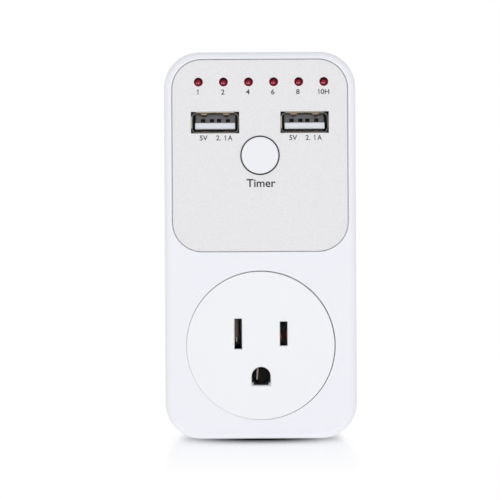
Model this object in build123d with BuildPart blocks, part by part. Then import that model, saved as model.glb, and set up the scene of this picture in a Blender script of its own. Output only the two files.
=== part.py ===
from build123d import *
import os

# Plug-in timer switch: a wall-plug body with a switched outlet, two USB ports,
# six hour lamps and one push button.
# X runs to the user's right, Y from the front face towards the wall, Z up.
# The origin is the centre of the bottom end, on which the timer can stand.
# "Depth" means the distance behind the front face. All sizes are in millimetres.

# ---- Housing ----
body_width = 53.5
body_corner_radius = 10.0
front_shell_depth = 20.0
front_wall = 2.6
side_wall = 2.0
rear_wall = 2.2
front_edge_radius = 2.0
rear_edge_radius = 2.5
lip_length = 1.6
lip_thickness = 0.9
lip_clearance = 0.1
seam_chamfer = 0.25

# ---- Housing screws ----
screw_side_inset = 4.75
screw_bottom_height = 8.0
screw_above_rows_middle = 0.55
screw_radius = 1.4
screw_head_radius = 2.5
screw_head_height = 1.7
screw_grip = 6.0
screw_bite = 8.0
screw_hole_clearance = 0.25
screw_pilot_clearance = 0.02
screw_pilot_spare = 1.0
screw_cross_length = 2.4
screw_cross_width = 0.6
screw_cross_depth = 0.9
boss_radius = 3.0
column_radius = 3.8

# ---- Front panel ----
panel_height = 53.4
panel_side_margin = 2.35
panel_radius = 8.2
panel_top_margin = 2.25
panel_above_outlet = 5.6
panel_thickness = 0.9
panel_sink = 0.15
panel_gap = 0.25

# ---- Hour lamps ----
lamp_names = ["1h", "2h", "4h", "6h", "8h", "10h"]
lamp_pitch = 7.0
lamp_row_shift = 0.4
lamp_row_drop = 6.15
lamp_window_radius = 1.25
lamp_radius = 1.45
lamp_hole_clearance = 0.15
lamp_tip_sink = 0.45
lamp_barrel = 2.85
lamp_flange_radius = 1.9
lamp_flange = 1.0
lead_size = 0.5
lead_pitch = 2.54
lead_hole_radius = 0.45
spacer_height = 4.4
spacer_end = 2.3
spacer_corner_radius = 0.6

# ---- USB-A ports ----
port_spacing = 25.0
port_above_button = 9.2
port_window_side_gap = 0.2
port_window_top_gap = 0.165
port_sink = 0.35
shell_width = 13.1
shell_height = 5.72
shell_radius = 1.2
shell_wall = 0.3
shell_length = 13.6
shell_leg_width = 1.5
port_base_length = 3.4
port_base_clearance = 0.03
port_hole_height = 1.5
port_hole_spare = 0.2
port_hole_depth = 2.2
port_cheek_depth = 1.4
tongue_width = 11.1
tongue_thickness = 1.84
tongue_floor_gap = 0.7
tongue_sink = 0.9
tongue_tip_radius = 0.4
port_contact_width = 1.0
port_contact_thickness = 0.25
port_contact_proud = 0.12
port_contact_sink = 0.75
port_contact_places = [-3.5, -1.0, 1.0, 3.5]
port_spring_spacing = 6.2
port_spring_width = 1.7
port_spring_slot = 0.4
port_spring_start = 1.6
port_spring_reach = 6.2
port_spring_bulge = 0.5
port_spring_bulge_place = 3.4
port_spring_tip_place = 2.0
port_spring_root = 0.5
port_spring_bend = 0.5
port_spring_thickness = 0.27
board_slot_spare = 0.15

# ---- Timer button and tact switch ----
button_above_panel_middle = 0.05
button_radius = 5.15
button_gap = 0.37
button_proud = 0.35
button_travel = 0.3
button_flange_overlap = 0.75
button_flange = 1.0
button_edge_radius = 0.28
button_stem_radius = 2.2
button_stem_reach = 0.8
button_wall = 0.95
button_skin = 1.2
button_seat_gap = 0.05
collar_wall = 1.0
collar_length = 3.4
tact_size = 6.0
tact_base_height = 3.5
tact_plate = 0.3
tact_arm_width = 3.6
tact_arm_length = 2.1
tact_floor_thickness = 1.05
tact_terminal_width = 0.7
tact_terminal_spacing = 4.5
tact_terminal_start = 1.5
tact_plunger_radius = 1.75
tact_foot_radius = 2.1
tact_foot = 0.6
tact_nib_radius = 0.7
tact_dome_radius = 2.2
tact_dome_rise = 0.45
tact_dome_thickness = 0.12
tact_dome_spare = 0.2
slide_clearance = 0.06

# ---- Outlet ----
outlet_bottom_margin = 5.45
outlet_side_margin = 6.1
outlet_gap = 0.18
outlet_settle = 0.6 * outlet_gap
outlet_flange_overlap = 1.25
outlet_flange = 1.4
outlet_edge_radius = 0.1
blade_spacing = 12.7
blade_rise = 3.2
slot_width = 2.1
line_slot_height = 6.8
neutral_slot_height = 8.5
slot_lead_in = 0.25
ground_drop = 11.89
ground_hole_radius = 2.65
ground_hole_flat = 2.6
carrier_side_inset = 5.7
carrier_top = 13.9
carrier_bottom = 17.1
carrier_radius = 5.0
carrier_depth = 18.0
cover_thickness = 1.5
pocket_width = 5.4
pocket_spare = 0.6
ground_pocket_radius = 3.6
carrier_screw_inset = 4.5
carrier_screw_drop = 11.0
carrier_screw_radius = 1.2
carrier_screw_head_radius = 2.2
carrier_screw_head = 1.4
carrier_screw_bite = 2.6
carrier_screw_slot = 0.6
screw_tip_gap = 0.2
tail_clearance = 0.1
rib_thickness = 1.6
rib_height = 24.0

# ---- Outlet contacts ----
strip_thickness = 0.6
clip_front_gap = 1.3
clip_mouth = 1.5
clip_pinch = 0.55
clip_body = 1.4
clip_pinch_place = 0.25
clip_bend_place = 0.6
strip_bend_radius = 0.42
clip_back_gap = 1.2
clip_slot_margin = 0.4
tail_thickness = 0.8
tail_width = 5.0
line_tail_over = 0.6
line_tail_width = 4.0
line_tail_shift = 1.4
wire_room = 5.2
sleeve_radius = 2.4
sleeve_wall = 0.6
sleeve_length = 13.0
sleeve_slit = 1.4
sleeve_base = 1.0
sleeve_collar = 2.0

# ---- Plug and back ----
label_width = 36.0
label_height = 26.0
label_radius = 2.0
label_sink = 0.3
label_above_pad = 15.9
pad_width = 36.0
pad_height = 34.0
pad_radius = 5.0
pad_rise = 1.0
pad_edge_radius = 0.33
blade_thickness = 1.5
blade_width = 6.35
blade_length = 17.5
blade_tip_chamfer = 0.45
blade_hole_radius = 1.6
blade_hole_inset = 6.0
blade_fit = 0.03
blade_shoulder = 0.6
blade_shoulder_extra = 1.4
line_blade_tab = 2.2
anchor_thickness = 2.5
anchor_width = 24.0
anchor_margin = 4.6
ground_pin_radius = 2.38
ground_pin_length = 20.5
ground_pin_tip_radius = 1.9
ground_pin_root_radius = 2.7
ground_pin_flange_radius = 3.6
ground_neck_radius = 1.5

# ---- Boards ----
board_thickness = 1.6
pin_tail = 1.0
board_side_gap = 1.0
board_top_gap = 2.6
board_corner_radius = 6.0
board_notch_gap = 0.5
board_post_radius = 2.4
board_post_inset = 3.75
board_screw_radius = 1.0
board_screw_head_radius = 1.9
board_screw_head = 1.2
board_screw_bite = 3.0
board_screw_spare = 1.0
control_board_below_button = 7.1
control_post_height = 4.5
control_top_post_drop = 5.6
board_step = 22.5
power_board_rear_gap = 1.6
power_post_height = 2.9
power_top_post_drop = 2.4
header_above_edge = 2.0
header_pitch = 2.54
header_pins_across = 5
header_pin = 0.64
header_hole_spare = 0.25
header_pin_front_tail = 0.8
chip_rise = 1.5
chip_length = 4.0
timer_chip_width = 10.0
charge_chip_width = 5.0
chip_row_above_edge = 7.8
timer_chip_x = -11.5
charge_chip_places = [9.0, 15.6]
resistor_width = 1.6
resistor_length = 0.85
resistor_rise = 0.45

# ---- Relay, measured from the power board ----
relay_width = 19.0
relay_height = 15.4
relay_rise = 15.3
relay_side_gap = 2.05
relay_cover_wall = 0.8
relay_cover_lift = 0.3
relay_cover_radius = 0.8
relay_fit = 0.05
relay_base_rise = 2.0
relay_headroom = 0.7
relay_iron = 1.2
relay_iron_height = 9.0
relay_yoke_gap = 0.5
relay_hinge_gap = 0.1
relay_pole_gap = 0.6
relay_pole_radius = 3.4
relay_pole_rise = 0.8
relay_core_radius = 2.0
relay_coil_gap = 0.2
relay_coil_radius = 5.0
relay_tube_wall = 0.65
relay_armature_overhang = 1.0
relay_flange = 0.8
relay_flange_width = 10.4
relay_flange_height = 11.0
relay_leaf_thickness = 0.2
relay_leaf_height = 4.0
relay_rivet_radius = 1.2
relay_rivet_rise = 0.6
relay_fixed_strip = 0.4
relay_fixed_gap = 0.9
relay_contact_gap = 0.1

# ---- Transformer and the other parts on the power board ----
tall_row_above_edge = 6.2
core_width = 16.2
core_thickness = 5.2
core_leg = 2.4
centre_leg = 4.2
core_foot = 2.4
core_rise = 15.6
transformer_side_gap = 4.05
bobbin_height = 13.5
bobbin_wall = 0.5
bobbin_spare = 0.5
winding_build = 3.5
winding_gap = 0.15
winding_corner_radius = 2.0
bulk_can_radius = 4.5
bulk_can_rise = 9.5
bulk_can_side_gap = 5.25
bulk_can_above_header = 4.6
output_can_radius = 3.15
output_can_rise = 8.0
output_can_side_gap = 9.1
output_can_above_header = [5.0, 13.4]
can_edge_radius = 0.4
varistor_radius = 4.0
varistor_thickness = 3.4
varistor_lift = 1.0
varistor_lead_pitch = 5.0
varistor_above_header = 14.6
lead_wire_radius = 0.3
fuse_radius = 1.8
fuse_length = 10.0
fuse_x = -9.5
fuse_above_header = 22.4
power_chip_x = -1.0
bridge_width = 4.8
bridge_rise = 2.5
bridge_above_header = 7.0
switcher_width = 5.0
switcher_rise = 1.6
switcher_above_header = 15.0

# ---- Wires ----
wire_radius = 1.1
wire_bend_radius = 3.0
wire_landing = 4.0
wire_first_bend = 0.25
wire_last_bend = 0.65
line_wire_end_x = 2.0
switched_wire_shift = 2.2
switched_wire_end_x = 11.0

# ---- Values worked out from the sizes above ----
# depths, front to back
panel_recess = panel_thickness + panel_sink
outlet_back = front_wall + outlet_flange
carrier_back = outlet_back + carrier_depth
cover_back = carrier_back + cover_thickness
shoulder_front = cover_back + wire_room
anchor_front = shoulder_front + blade_shoulder
rear_cavity = anchor_front + anchor_thickness
body_depth = rear_cavity + rear_wall
plug_face = body_depth + pad_rise
clip_front = outlet_back + clip_front_gap
clip_back = carrier_back - clip_back_gap
clip_length = clip_back - clip_front
sleeve_back = clip_front + sleeve_length
control_board_front = port_sink + shell_length
control_board_back = control_board_front + board_thickness
power_board_back = rear_cavity - power_board_rear_gap
power_board_front = power_board_back - board_thickness
screw_seat_depth = front_shell_depth + screw_grip

# the outlet's round face and the contact stack behind it
outlet_radius = body_width / 2 - outlet_side_margin
outlet_flange_radius = outlet_radius + outlet_gap + outlet_flange_overlap
carrier_width = 2 * (outlet_flange_radius - carrier_side_inset)

# heights, bottom to top
outlet_height = outlet_bottom_margin + outlet_radius
blade_height = outlet_height + blade_rise
ground_height = blade_height - ground_drop
stack_top = outlet_height + carrier_top
panel_bottom = outlet_height + outlet_radius + panel_above_outlet
panel_top = panel_bottom + panel_height
panel_middle = (panel_bottom + panel_top) / 2
body_height = panel_top + panel_top_margin
body_middle = body_height / 2
lamp_height = panel_top - lamp_row_drop
button_height = panel_middle + button_above_panel_middle
port_height = button_height + port_above_button
screw_top_height = (lamp_height + port_height) / 2 + screw_above_rows_middle
board_top = body_height - side_wall - board_top_gap
control_board_bottom = button_height - control_board_below_button
power_board_bottom = control_board_bottom - board_step
header_height = control_board_bottom + header_above_edge
tall_row_bottom = power_board_bottom + tall_row_above_edge
label_middle = outlet_height + pad_height / 2 + label_above_pad + label_height / 2

# places across the front
panel_width = body_width - 2 * panel_side_margin
board_width = body_width - 2 * side_wall - 2 * board_side_gap
line_x = blade_spacing / 2
neutral_x = -blade_spacing / 2
port_places = [-port_spacing / 2, port_spacing / 2]
port_window_width = shell_width + 2 * port_window_side_gap
port_window_height = shell_height + 2 * port_window_top_gap
middle_lamp = (len(lamp_names) - 1) / 2
lamp_places = [lamp_row_shift + (i - middle_lamp) * lamp_pitch for i in range(len(lamp_names))]
lead_places = [(x, lamp_height + up * lead_pitch / 2) for x in lamp_places for up in (-1, 1)]
tact_terminal_x = (tact_size + tact_plate) / 2
tact_terminal_places = [(x, button_height + up * tact_terminal_spacing / 2)
                        for x in (-tact_terminal_x, tact_terminal_x) for up in (-1, 1)]
screw_x = body_width / 2 - screw_side_inset
screw_places = [(x, z) for x in (-screw_x, screw_x)
                for z in (screw_bottom_height, screw_top_height)]
carrier_screw_x = carrier_width / 2 - carrier_screw_inset
carrier_screw_places = [(x, outlet_height - carrier_screw_drop)
                        for x in (-carrier_screw_x, carrier_screw_x)]
post_x = board_width / 2 - board_post_inset
control_screw_places = [(-post_x, control_board_bottom + control_post_height),
                        (post_x, control_board_bottom + control_post_height),
                        (lamp_row_shift, lamp_height - control_top_post_drop)]
power_screw_places = [(-post_x, power_board_bottom + power_post_height),
                      (post_x, power_board_bottom + power_post_height),
                      (0, board_top - power_top_post_drop)]
button_bore_radius = button_radius - button_wall
button_flange_radius = button_radius + button_gap + button_flange_overlap


# ---- Shapes that repeat ----
def plane_at(depth):
    """Sketch plane that faces the user, at this depth behind the front face."""
    return Plane.XZ.offset(body_depth / 2 - depth)


def block(x, z, width, height, front, back, mode=Mode.ADD):
    """A block centred on (x, z) that runs between two depths."""
    with Locations((x, (front + back - body_depth) / 2, z)):
        Box(width, back - front, height, mode=mode)


def post(x, z, radius, front, back, mode=Mode.ADD):
    """A round post, or with Mode.SUBTRACT a round hole, that runs between two depths."""
    with Locations((x, (front + back - body_depth) / 2, z)):
        Cylinder(radius, back - front, rotation=(90, 0, 0), mode=mode)


def body_outline(inset, mode=Mode.ADD):
    """The body's rounded outline, this far inside its outer surface, on the active sketch."""
    with Locations((0, body_middle)):
        RectangleRounded(body_width - 2 * inset, body_height - 2 * inset, body_corner_radius - inset,
                         mode=mode)


def slot_opening(x, height, grow=0.0):
    """One blade slot on the active sketch."""
    with Locations((x, blade_height)):
        Rectangle(slot_width + 2 * grow, height + 2 * grow)


def ground_opening(grow=0.0):
    """The D-shaped ground hole, round on top and flat below, on the active sketch."""
    with Locations((0, ground_height)):
        Circle(ground_hole_radius + grow)
    with Locations((0, ground_height - (ground_hole_flat + grow) / 2)):
        Rectangle(2 * (ground_hole_radius + grow), ground_hole_flat + grow)


def save(piece, name):
    """Label a finished piece and write it to its own file."""
    piece.part.label = name
    export_step(piece.part, f"parts/{name}.step")


os.makedirs("parts", exist_ok=True)

# ==== Housing ====
with BuildPart() as front_housing:
    with BuildSketch(plane_at(front_shell_depth)):
        body_outline(0)
    extrude(amount=front_shell_depth)
    fillet(front_housing.faces().sort_by(Axis.Y)[0].edges(), front_edge_radius)
    chamfer(front_housing.faces().sort_by(Axis.Y)[-1].edges(), seam_chamfer)
    with BuildSketch(plane_at(front_shell_depth)):
        body_outline(side_wall)
    extrude(amount=front_shell_depth - front_wall, mode=Mode.SUBTRACT)
    # step inside the rim that takes the rear housing's lip
    with BuildSketch(plane_at(front_shell_depth)):
        body_outline(side_wall - lip_thickness - lip_clearance)
    extrude(amount=lip_length + lip_clearance, mode=Mode.SUBTRACT)
    # recess for the panel, with the windows behind it
    with BuildSketch(plane_at(panel_recess)):
        with Locations((0, panel_middle)):
            RectangleRounded(panel_width + 2 * panel_gap, panel_height + 2 * panel_gap,
                             panel_radius + panel_gap)
    extrude(amount=panel_recess, mode=Mode.SUBTRACT)
    for x in lamp_places:
        post(x, lamp_height, lamp_radius + lamp_hole_clearance, 0, front_wall, Mode.SUBTRACT)
    for x in port_places:
        block(x, port_height, port_window_width, port_window_height, 0, front_wall, Mode.SUBTRACT)
    # collar that guides the button's flange
    post(0, button_height, button_flange_radius + button_gap + collar_wall, front_wall,
         front_wall + collar_length)
    post(0, button_height, button_flange_radius + button_gap, front_wall,
         front_wall + collar_length, Mode.SUBTRACT)
    post(0, button_height, button_radius + button_gap, 0, front_wall, Mode.SUBTRACT)
    # round opening for the outlet face
    post(0, outlet_height, outlet_radius + outlet_gap, 0, front_wall, Mode.SUBTRACT)
    # screw bosses and posts for the control board
    for x, z in screw_places:
        post(x, z, boss_radius, front_wall, front_shell_depth)
        post(x, z, screw_radius + screw_pilot_clearance,
             front_shell_depth - screw_bite - screw_pilot_spare, front_shell_depth, Mode.SUBTRACT)
    for x, z in control_screw_places:
        post(x, z, board_post_radius, front_wall, control_board_front)
        post(x, z, board_screw_radius + screw_pilot_clearance,
             control_board_front - board_screw_bite - board_screw_spare, control_board_front,
             Mode.SUBTRACT)
save(front_housing, "front_housing")

with BuildPart() as rear_housing:
    with BuildSketch(plane_at(body_depth)):
        body_outline(0)
    extrude(amount=body_depth - front_shell_depth)
    fillet(rear_housing.faces().sort_by(Axis.Y)[-1].edges(), rear_edge_radius)
    chamfer(rear_housing.faces().sort_by(Axis.Y)[0].edges(), seam_chamfer)
    with BuildSketch(plane_at(rear_cavity)):
        body_outline(side_wall)
    extrude(amount=rear_cavity - front_shell_depth, mode=Mode.SUBTRACT)
    with BuildSketch(plane_at(front_shell_depth)):
        body_outline(side_wall - lip_thickness)
        body_outline(side_wall, mode=Mode.SUBTRACT)
    extrude(amount=lip_length)
    # raised pad that bears on the wall outlet, and the block that anchors the blades
    with BuildSketch(plane_at(plug_face)):
        with Locations((0, outlet_height)):
            RectangleRounded(pad_width, pad_height, pad_radius)
    extrude(amount=pad_rise)
    fillet(rear_housing.faces().sort_by(Axis.Y)[-1].edges(), pad_edge_radius)
    block(0, (blade_height + ground_height) / 2, anchor_width, ground_drop + 2 * anchor_margin,
          anchor_front, rear_cavity)
    for x in (line_x, neutral_x):
        block(x, blade_height, blade_thickness + 2 * blade_fit, blade_width + 2 * blade_fit,
              anchor_front, plug_face, Mode.SUBTRACT)
    post(0, ground_height, ground_pin_root_radius + blade_fit, anchor_front, plug_face, Mode.SUBTRACT)
    # shallow bare recess for a rating label
    with BuildSketch(plane_at(body_depth)):
        with Locations((0, label_middle)):
            RectangleRounded(label_width, label_height, label_radius)
    extrude(amount=label_sink, mode=Mode.SUBTRACT)
    # ribs that press the outlet's contact stack forward
    for x in (-(carrier_width - rib_thickness) / 2, (carrier_width - rib_thickness) / 2):
        block(x, outlet_height, rib_thickness, rib_height, cover_back, rear_cavity)
    # screw columns, open from the back, and posts for the power board
    for x, z in screw_places:
        post(x, z, column_radius, front_shell_depth, rear_cavity)
        post(x, z, boss_radius + lip_clearance, front_shell_depth - lip_length, front_shell_depth,
             Mode.SUBTRACT)
        post(x, z, screw_head_radius + screw_hole_clearance, screw_seat_depth, body_depth,
             Mode.SUBTRACT)
        post(x, z, screw_radius + screw_hole_clearance, front_shell_depth, screw_seat_depth,
             Mode.SUBTRACT)
    for x, z in power_screw_places:
        post(x, z, board_post_radius, power_board_back, rear_cavity)
        post(x, z, board_screw_radius + screw_pilot_clearance, power_board_back,
             power_board_back + board_screw_bite, Mode.SUBTRACT)
save(rear_housing, "rear_housing")

with BuildPart() as housing_screws:
    for x, z in screw_places:
        post(x, z, screw_radius, front_shell_depth - screw_bite, screw_seat_depth)
        post(x, z, screw_head_radius, screw_seat_depth, screw_seat_depth + screw_head_height)
        head_back = screw_seat_depth + screw_head_height
        block(x, z, screw_cross_length, screw_cross_width, head_back - screw_cross_depth, head_back,
              Mode.SUBTRACT)
        block(x, z, screw_cross_width, screw_cross_length, head_back - screw_cross_depth, head_back,
              Mode.SUBTRACT)
save(housing_screws, "housing_screws")

with BuildPart() as front_panel:
    with BuildSketch(plane_at(panel_recess)):
        with Locations((0, panel_middle)):
            RectangleRounded(panel_width, panel_height, panel_radius)
        with Locations(*[(x, lamp_height) for x in lamp_places]):
            Circle(lamp_window_radius, mode=Mode.SUBTRACT)
        with Locations(*[(x, port_height) for x in port_places]):
            Rectangle(port_window_width, port_window_height, mode=Mode.SUBTRACT)
        with Locations((0, button_height)):
            Circle(button_radius + button_gap, mode=Mode.SUBTRACT)
    extrude(amount=panel_thickness)
save(front_panel, "front_panel")

# ==== Hour lamps ====
lamp_tip = panel_sink + lamp_tip_sink
lamp_shoulder = lamp_tip + lamp_radius
lamp_flange_front = lamp_shoulder + lamp_barrel
lamp_back = lamp_flange_front + lamp_flange

for name, x in zip(lamp_names, lamp_places):
    with BuildPart() as lamp:
        with BuildSketch(Plane.XY.offset(lamp_height)) as half:
            with BuildLine():
                dome = CenterArc((x, lamp_shoulder - body_depth / 2), lamp_radius, 270, 90)
                Polyline(dome @ 1,
                         (x + lamp_radius, lamp_flange_front - body_depth / 2),
                         (x + lamp_flange_radius, lamp_flange_front - body_depth / 2),
                         (x + lamp_flange_radius, lamp_back - body_depth / 2),
                         (x, lamp_back - body_depth / 2),
                         dome @ 0)
            make_face()
        revolve(axis=Axis((x, 0, lamp_height), (0, 1, 0)))
    save(lamp, f"lamp_{name}")

with BuildPart() as lamp_leads:
    for x, z in lead_places:
        block(x, z, lead_size, lead_size, lamp_back, control_board_back + pin_tail)
save(lamp_leads, "lamp_leads")

with BuildPart() as lamp_spacer:
    block(lamp_row_shift, lamp_height, lamp_places[-1] - lamp_places[0] + 2 * spacer_end, spacer_height,
          lamp_back, control_board_front)
    fillet(lamp_spacer.edges().filter_by(Axis.Y), spacer_corner_radius)
    for x, z in lead_places:
        post(x, z, lead_hole_radius, lamp_back, control_board_front, Mode.SUBTRACT)
save(lamp_spacer, "lamp_spacer")

# ==== USB-A ports ====
cavity_width = shell_width - 2 * shell_wall
cavity_height = shell_height - 2 * shell_wall
port_floor = port_height - cavity_height / 2
tongue_bottom = port_floor + tongue_floor_gap
tongue_top = tongue_bottom + tongue_thickness
port_base_front = control_board_front - port_base_length
cheek_width = (cavity_width - tongue_width) / 2
spring_start = port_sink + port_spring_start
spring_end = spring_start + port_spring_reach
port_contact_height = tongue_top + port_contact_proud - port_contact_thickness / 2
port_contact_front = port_sink + tongue_sink + port_contact_sink

for side, x in zip(("left", "right"), port_places):
    with BuildPart() as port_shell:
        with BuildSketch(plane_at(control_board_front)):
            with Locations((x, port_height)):
                RectangleRounded(shell_width, shell_height, shell_radius)
                RectangleRounded(cavity_width, cavity_height, shell_radius - shell_wall, mode=Mode.SUBTRACT)
        extrude(amount=shell_length)
        for end in (-1, 1):
            block(x + end * (shell_width - shell_wall) / 2, port_height, shell_wall, shell_leg_width,
                  control_board_front, control_board_back + pin_tail)
        # two bent retention springs above the mouth and two below, each in its own window
        for up in (-1, 1):
            wall_height = port_height + up * (shell_height - shell_wall) / 2
            for across in (-port_spring_spacing / 2, port_spring_spacing / 2):
                block(x + across, wall_height, port_spring_width + 2 * port_spring_slot, 2 * shell_wall,
                      spring_start, spring_end, Mode.SUBTRACT)
                with BuildSketch(Plane.YZ.offset(x + across)):
                    with BuildLine():
                        FilletPolyline(
                            (spring_end + port_spring_root - body_depth / 2, wall_height),
                            (spring_end - port_spring_root - body_depth / 2, wall_height),
                            (port_sink + port_spring_bulge_place - body_depth / 2,
                             wall_height - up * port_spring_bulge),
                            (port_sink + port_spring_tip_place - body_depth / 2, wall_height),
                            radius=port_spring_bend)
                    trace(line_width=port_spring_thickness)
                extrude(amount=port_spring_width / 2, both=True)
    save(port_shell, f"usb_{side}_shell")

    with BuildPart() as port_base:
        block(x, port_height, cavity_width - 2 * port_base_clearance,
              cavity_height - 2 * port_base_clearance,
              port_base_front, control_board_front)
        fillet(port_base.edges().filter_by(Axis.Y), shell_radius - shell_wall)
        # beside the tongue, the base's front stands back from the shell's walls
        for end in (-1, 1):
            block(x + end * (tongue_width + cheek_width) / 2, port_height, cheek_width, cavity_height,
                  port_base_front, port_base_front + port_cheek_depth, Mode.SUBTRACT)
        block(x, (tongue_bottom + tongue_top) / 2, tongue_width, tongue_thickness,
              port_sink + tongue_sink, port_base_front)
        fillet(port_base.faces().sort_by(Axis.Y)[0].edges().filter_by(Axis.X), tongue_tip_radius)
        for across in port_contact_places:
            block(x + across, tongue_top + port_hole_height / 2, port_contact_width + port_hole_spare,
                  port_hole_height, port_base_front, port_base_front + port_hole_depth, Mode.SUBTRACT)
            block(x + across, port_contact_height, port_contact_width + 2 * port_base_clearance,
                  port_contact_thickness + 2 * port_base_clearance,
                  port_contact_front - port_base_clearance, control_board_front, Mode.SUBTRACT)
    save(port_base, f"usb_{side}_tongue")

    with BuildPart() as port_contacts:
        for across in port_contact_places:
            block(x + across, port_contact_height, port_contact_width, port_contact_thickness,
                  port_contact_front, control_board_back + pin_tail)
    save(port_contacts, f"usb_{side}_contacts")

# ==== Timer button and tact switch ====
tact_front = control_board_front - tact_base_height
tact_floor = control_board_front - tact_floor_thickness
flange_front = front_wall + button_seat_gap
flange_back = flange_front + button_flange
plunger_front = flange_back + button_stem_reach
plunger_tip = tact_floor - tact_dome_rise - button_travel - slide_clearance

with BuildPart() as timer_button:
    post(0, button_height, button_radius, -button_proud, flange_front)
    fillet(timer_button.faces().sort_by(Axis.Y)[0].edges(), button_edge_radius)
    post(0, button_height, button_flange_radius, flange_front, flange_back)
    post(0, button_height, button_bore_radius, button_skin - button_proud, flange_back, Mode.SUBTRACT)
    post(0, button_height, button_stem_radius, button_skin - button_proud,
         plunger_front - button_seat_gap)
save(timer_button, "timer_button")

with BuildPart() as tact_base:
    block(0, button_height, tact_size, tact_size, tact_front + tact_plate, control_board_front)
    post(0, button_height, tact_dome_radius + tact_dome_spare, tact_front + tact_plate, tact_floor,
         Mode.SUBTRACT)
save(tact_base, "tact_base")

with BuildPart() as tact_cover:
    block(0, button_height, tact_size, tact_size + 2 * tact_plate, tact_front, tact_front + tact_plate)
    post(0, button_height, tact_plunger_radius + slide_clearance, tact_front, tact_front + tact_plate,
         Mode.SUBTRACT)
    for up in (-1, 1):
        block(0, button_height + up * (tact_size + tact_plate) / 2, tact_arm_width, tact_plate,
              tact_front, tact_front + tact_arm_length)
save(tact_cover, "tact_cover")

foot_front = tact_front + tact_plate + slide_clearance

with BuildPart() as tact_plunger:
    post(0, button_height, tact_plunger_radius, plunger_front, foot_front)
    post(0, button_height, tact_foot_radius, foot_front, foot_front + tact_foot)
    post(0, button_height, tact_nib_radius, foot_front + tact_foot, plunger_tip)
save(tact_plunger, "tact_plunger")

with BuildPart() as tact_dome:
    with BuildSketch(Plane.XY.offset(button_height)):
        with BuildLine():
            ThreePointArc((-tact_dome_radius, tact_floor - tact_dome_thickness - body_depth / 2),
                          (0, tact_floor - tact_dome_rise + tact_dome_thickness / 2 - body_depth / 2),
                          (tact_dome_radius, tact_floor - tact_dome_thickness - body_depth / 2))
        trace(line_width=tact_dome_thickness)
        with Locations((-tact_dome_radius, -body_depth / 2 + tact_floor)):
            Rectangle(2 * tact_dome_radius, body_depth, mode=Mode.SUBTRACT)
    revolve(axis=Axis((0, 0, button_height), (0, 1, 0)))
save(tact_dome, "tact_dome")

with BuildPart() as tact_terminals:
    for x, z in tact_terminal_places:
        block(x, z, tact_plate, tact_terminal_width, tact_front + tact_terminal_start,
              control_board_back + pin_tail)
save(tact_terminals, "tact_terminals")

# ==== Outlet ====
with BuildPart() as outlet_face:
    # the insert has settled down and to the left in its opening, within the gap
    post(-outlet_settle, outlet_height - outlet_settle, outlet_radius, 0, front_wall)
    post(0, outlet_height, outlet_flange_radius, front_wall, outlet_back)
    with BuildSketch(plane_at(outlet_back)):
        slot_opening(line_x, line_slot_height)
        slot_opening(neutral_x, neutral_slot_height)
        ground_opening()
    extrude(amount=outlet_back, mode=Mode.SUBTRACT)
    face = outlet_face.faces().sort_by(Axis.Y)[0]
    fillet(face.outer_wire().edges(), outlet_edge_radius)
    face = outlet_face.faces().sort_by(Axis.Y)[0]
    chamfer([edge for wire in face.inner_wires() for edge in wire.edges()], slot_lead_in)
    for x, z in carrier_screw_places:
        post(x, z, carrier_screw_radius + screw_pilot_clearance, outlet_back - carrier_screw_bite,
             outlet_back, Mode.SUBTRACT)
save(outlet_face, "outlet_face")


def carrier_outline():
    """The contact stack's rounded outline on the active sketch."""
    with Locations((0, outlet_height + (carrier_top - carrier_bottom) / 2)):
        RectangleRounded(carrier_width, carrier_top + carrier_bottom, carrier_radius)


with BuildPart() as contact_carrier:
    with BuildSketch(plane_at(carrier_back)):
        carrier_outline()
        with Locations((line_x, blade_height), (neutral_x, blade_height)):
            Rectangle(pocket_width, neutral_slot_height + 2 * pocket_spare, mode=Mode.SUBTRACT)
        with Locations((0, ground_height)):
            Circle(ground_pocket_radius, mode=Mode.SUBTRACT)
        with Locations(*carrier_screw_places):
            Circle(carrier_screw_radius + screw_hole_clearance, mode=Mode.SUBTRACT)
    extrude(amount=carrier_depth)
save(contact_carrier, "contact_carrier")

with BuildPart() as contact_cover:
    with BuildSketch(plane_at(cover_back)):
        carrier_outline()
        with Locations((line_x, blade_height), (neutral_x, blade_height)):
            Rectangle(tail_thickness + 2 * tail_clearance, tail_width + 2 * tail_clearance,
                      mode=Mode.SUBTRACT)
        with Locations((0, ground_height)):
            Circle(ground_neck_radius + tail_clearance, mode=Mode.SUBTRACT)
        with Locations(*carrier_screw_places):
            Circle(carrier_screw_radius + screw_hole_clearance, mode=Mode.SUBTRACT)
    extrude(amount=cover_thickness)
save(contact_cover, "contact_cover")

with BuildPart() as carrier_screws:
    for x, z in carrier_screw_places:
        post(x, z, carrier_screw_radius, outlet_back - carrier_screw_bite + screw_tip_gap, cover_back)
        post(x, z, carrier_screw_head_radius, cover_back, cover_back + carrier_screw_head)
        block(x, z, 2 * carrier_screw_radius, carrier_screw_slot, cover_back + carrier_screw_head / 2,
              cover_back + carrier_screw_head, Mode.SUBTRACT)
save(carrier_screws, "carrier_screws")


clip_end = clip_back - strip_thickness / 2 - body_depth / 2
clip_start = clip_front - body_depth / 2
line_tail_top = stack_top + line_tail_over
leaf_pinch = clip_start + clip_length * clip_pinch_place
leaf_bend = clip_start + clip_length * clip_bend_place

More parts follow.
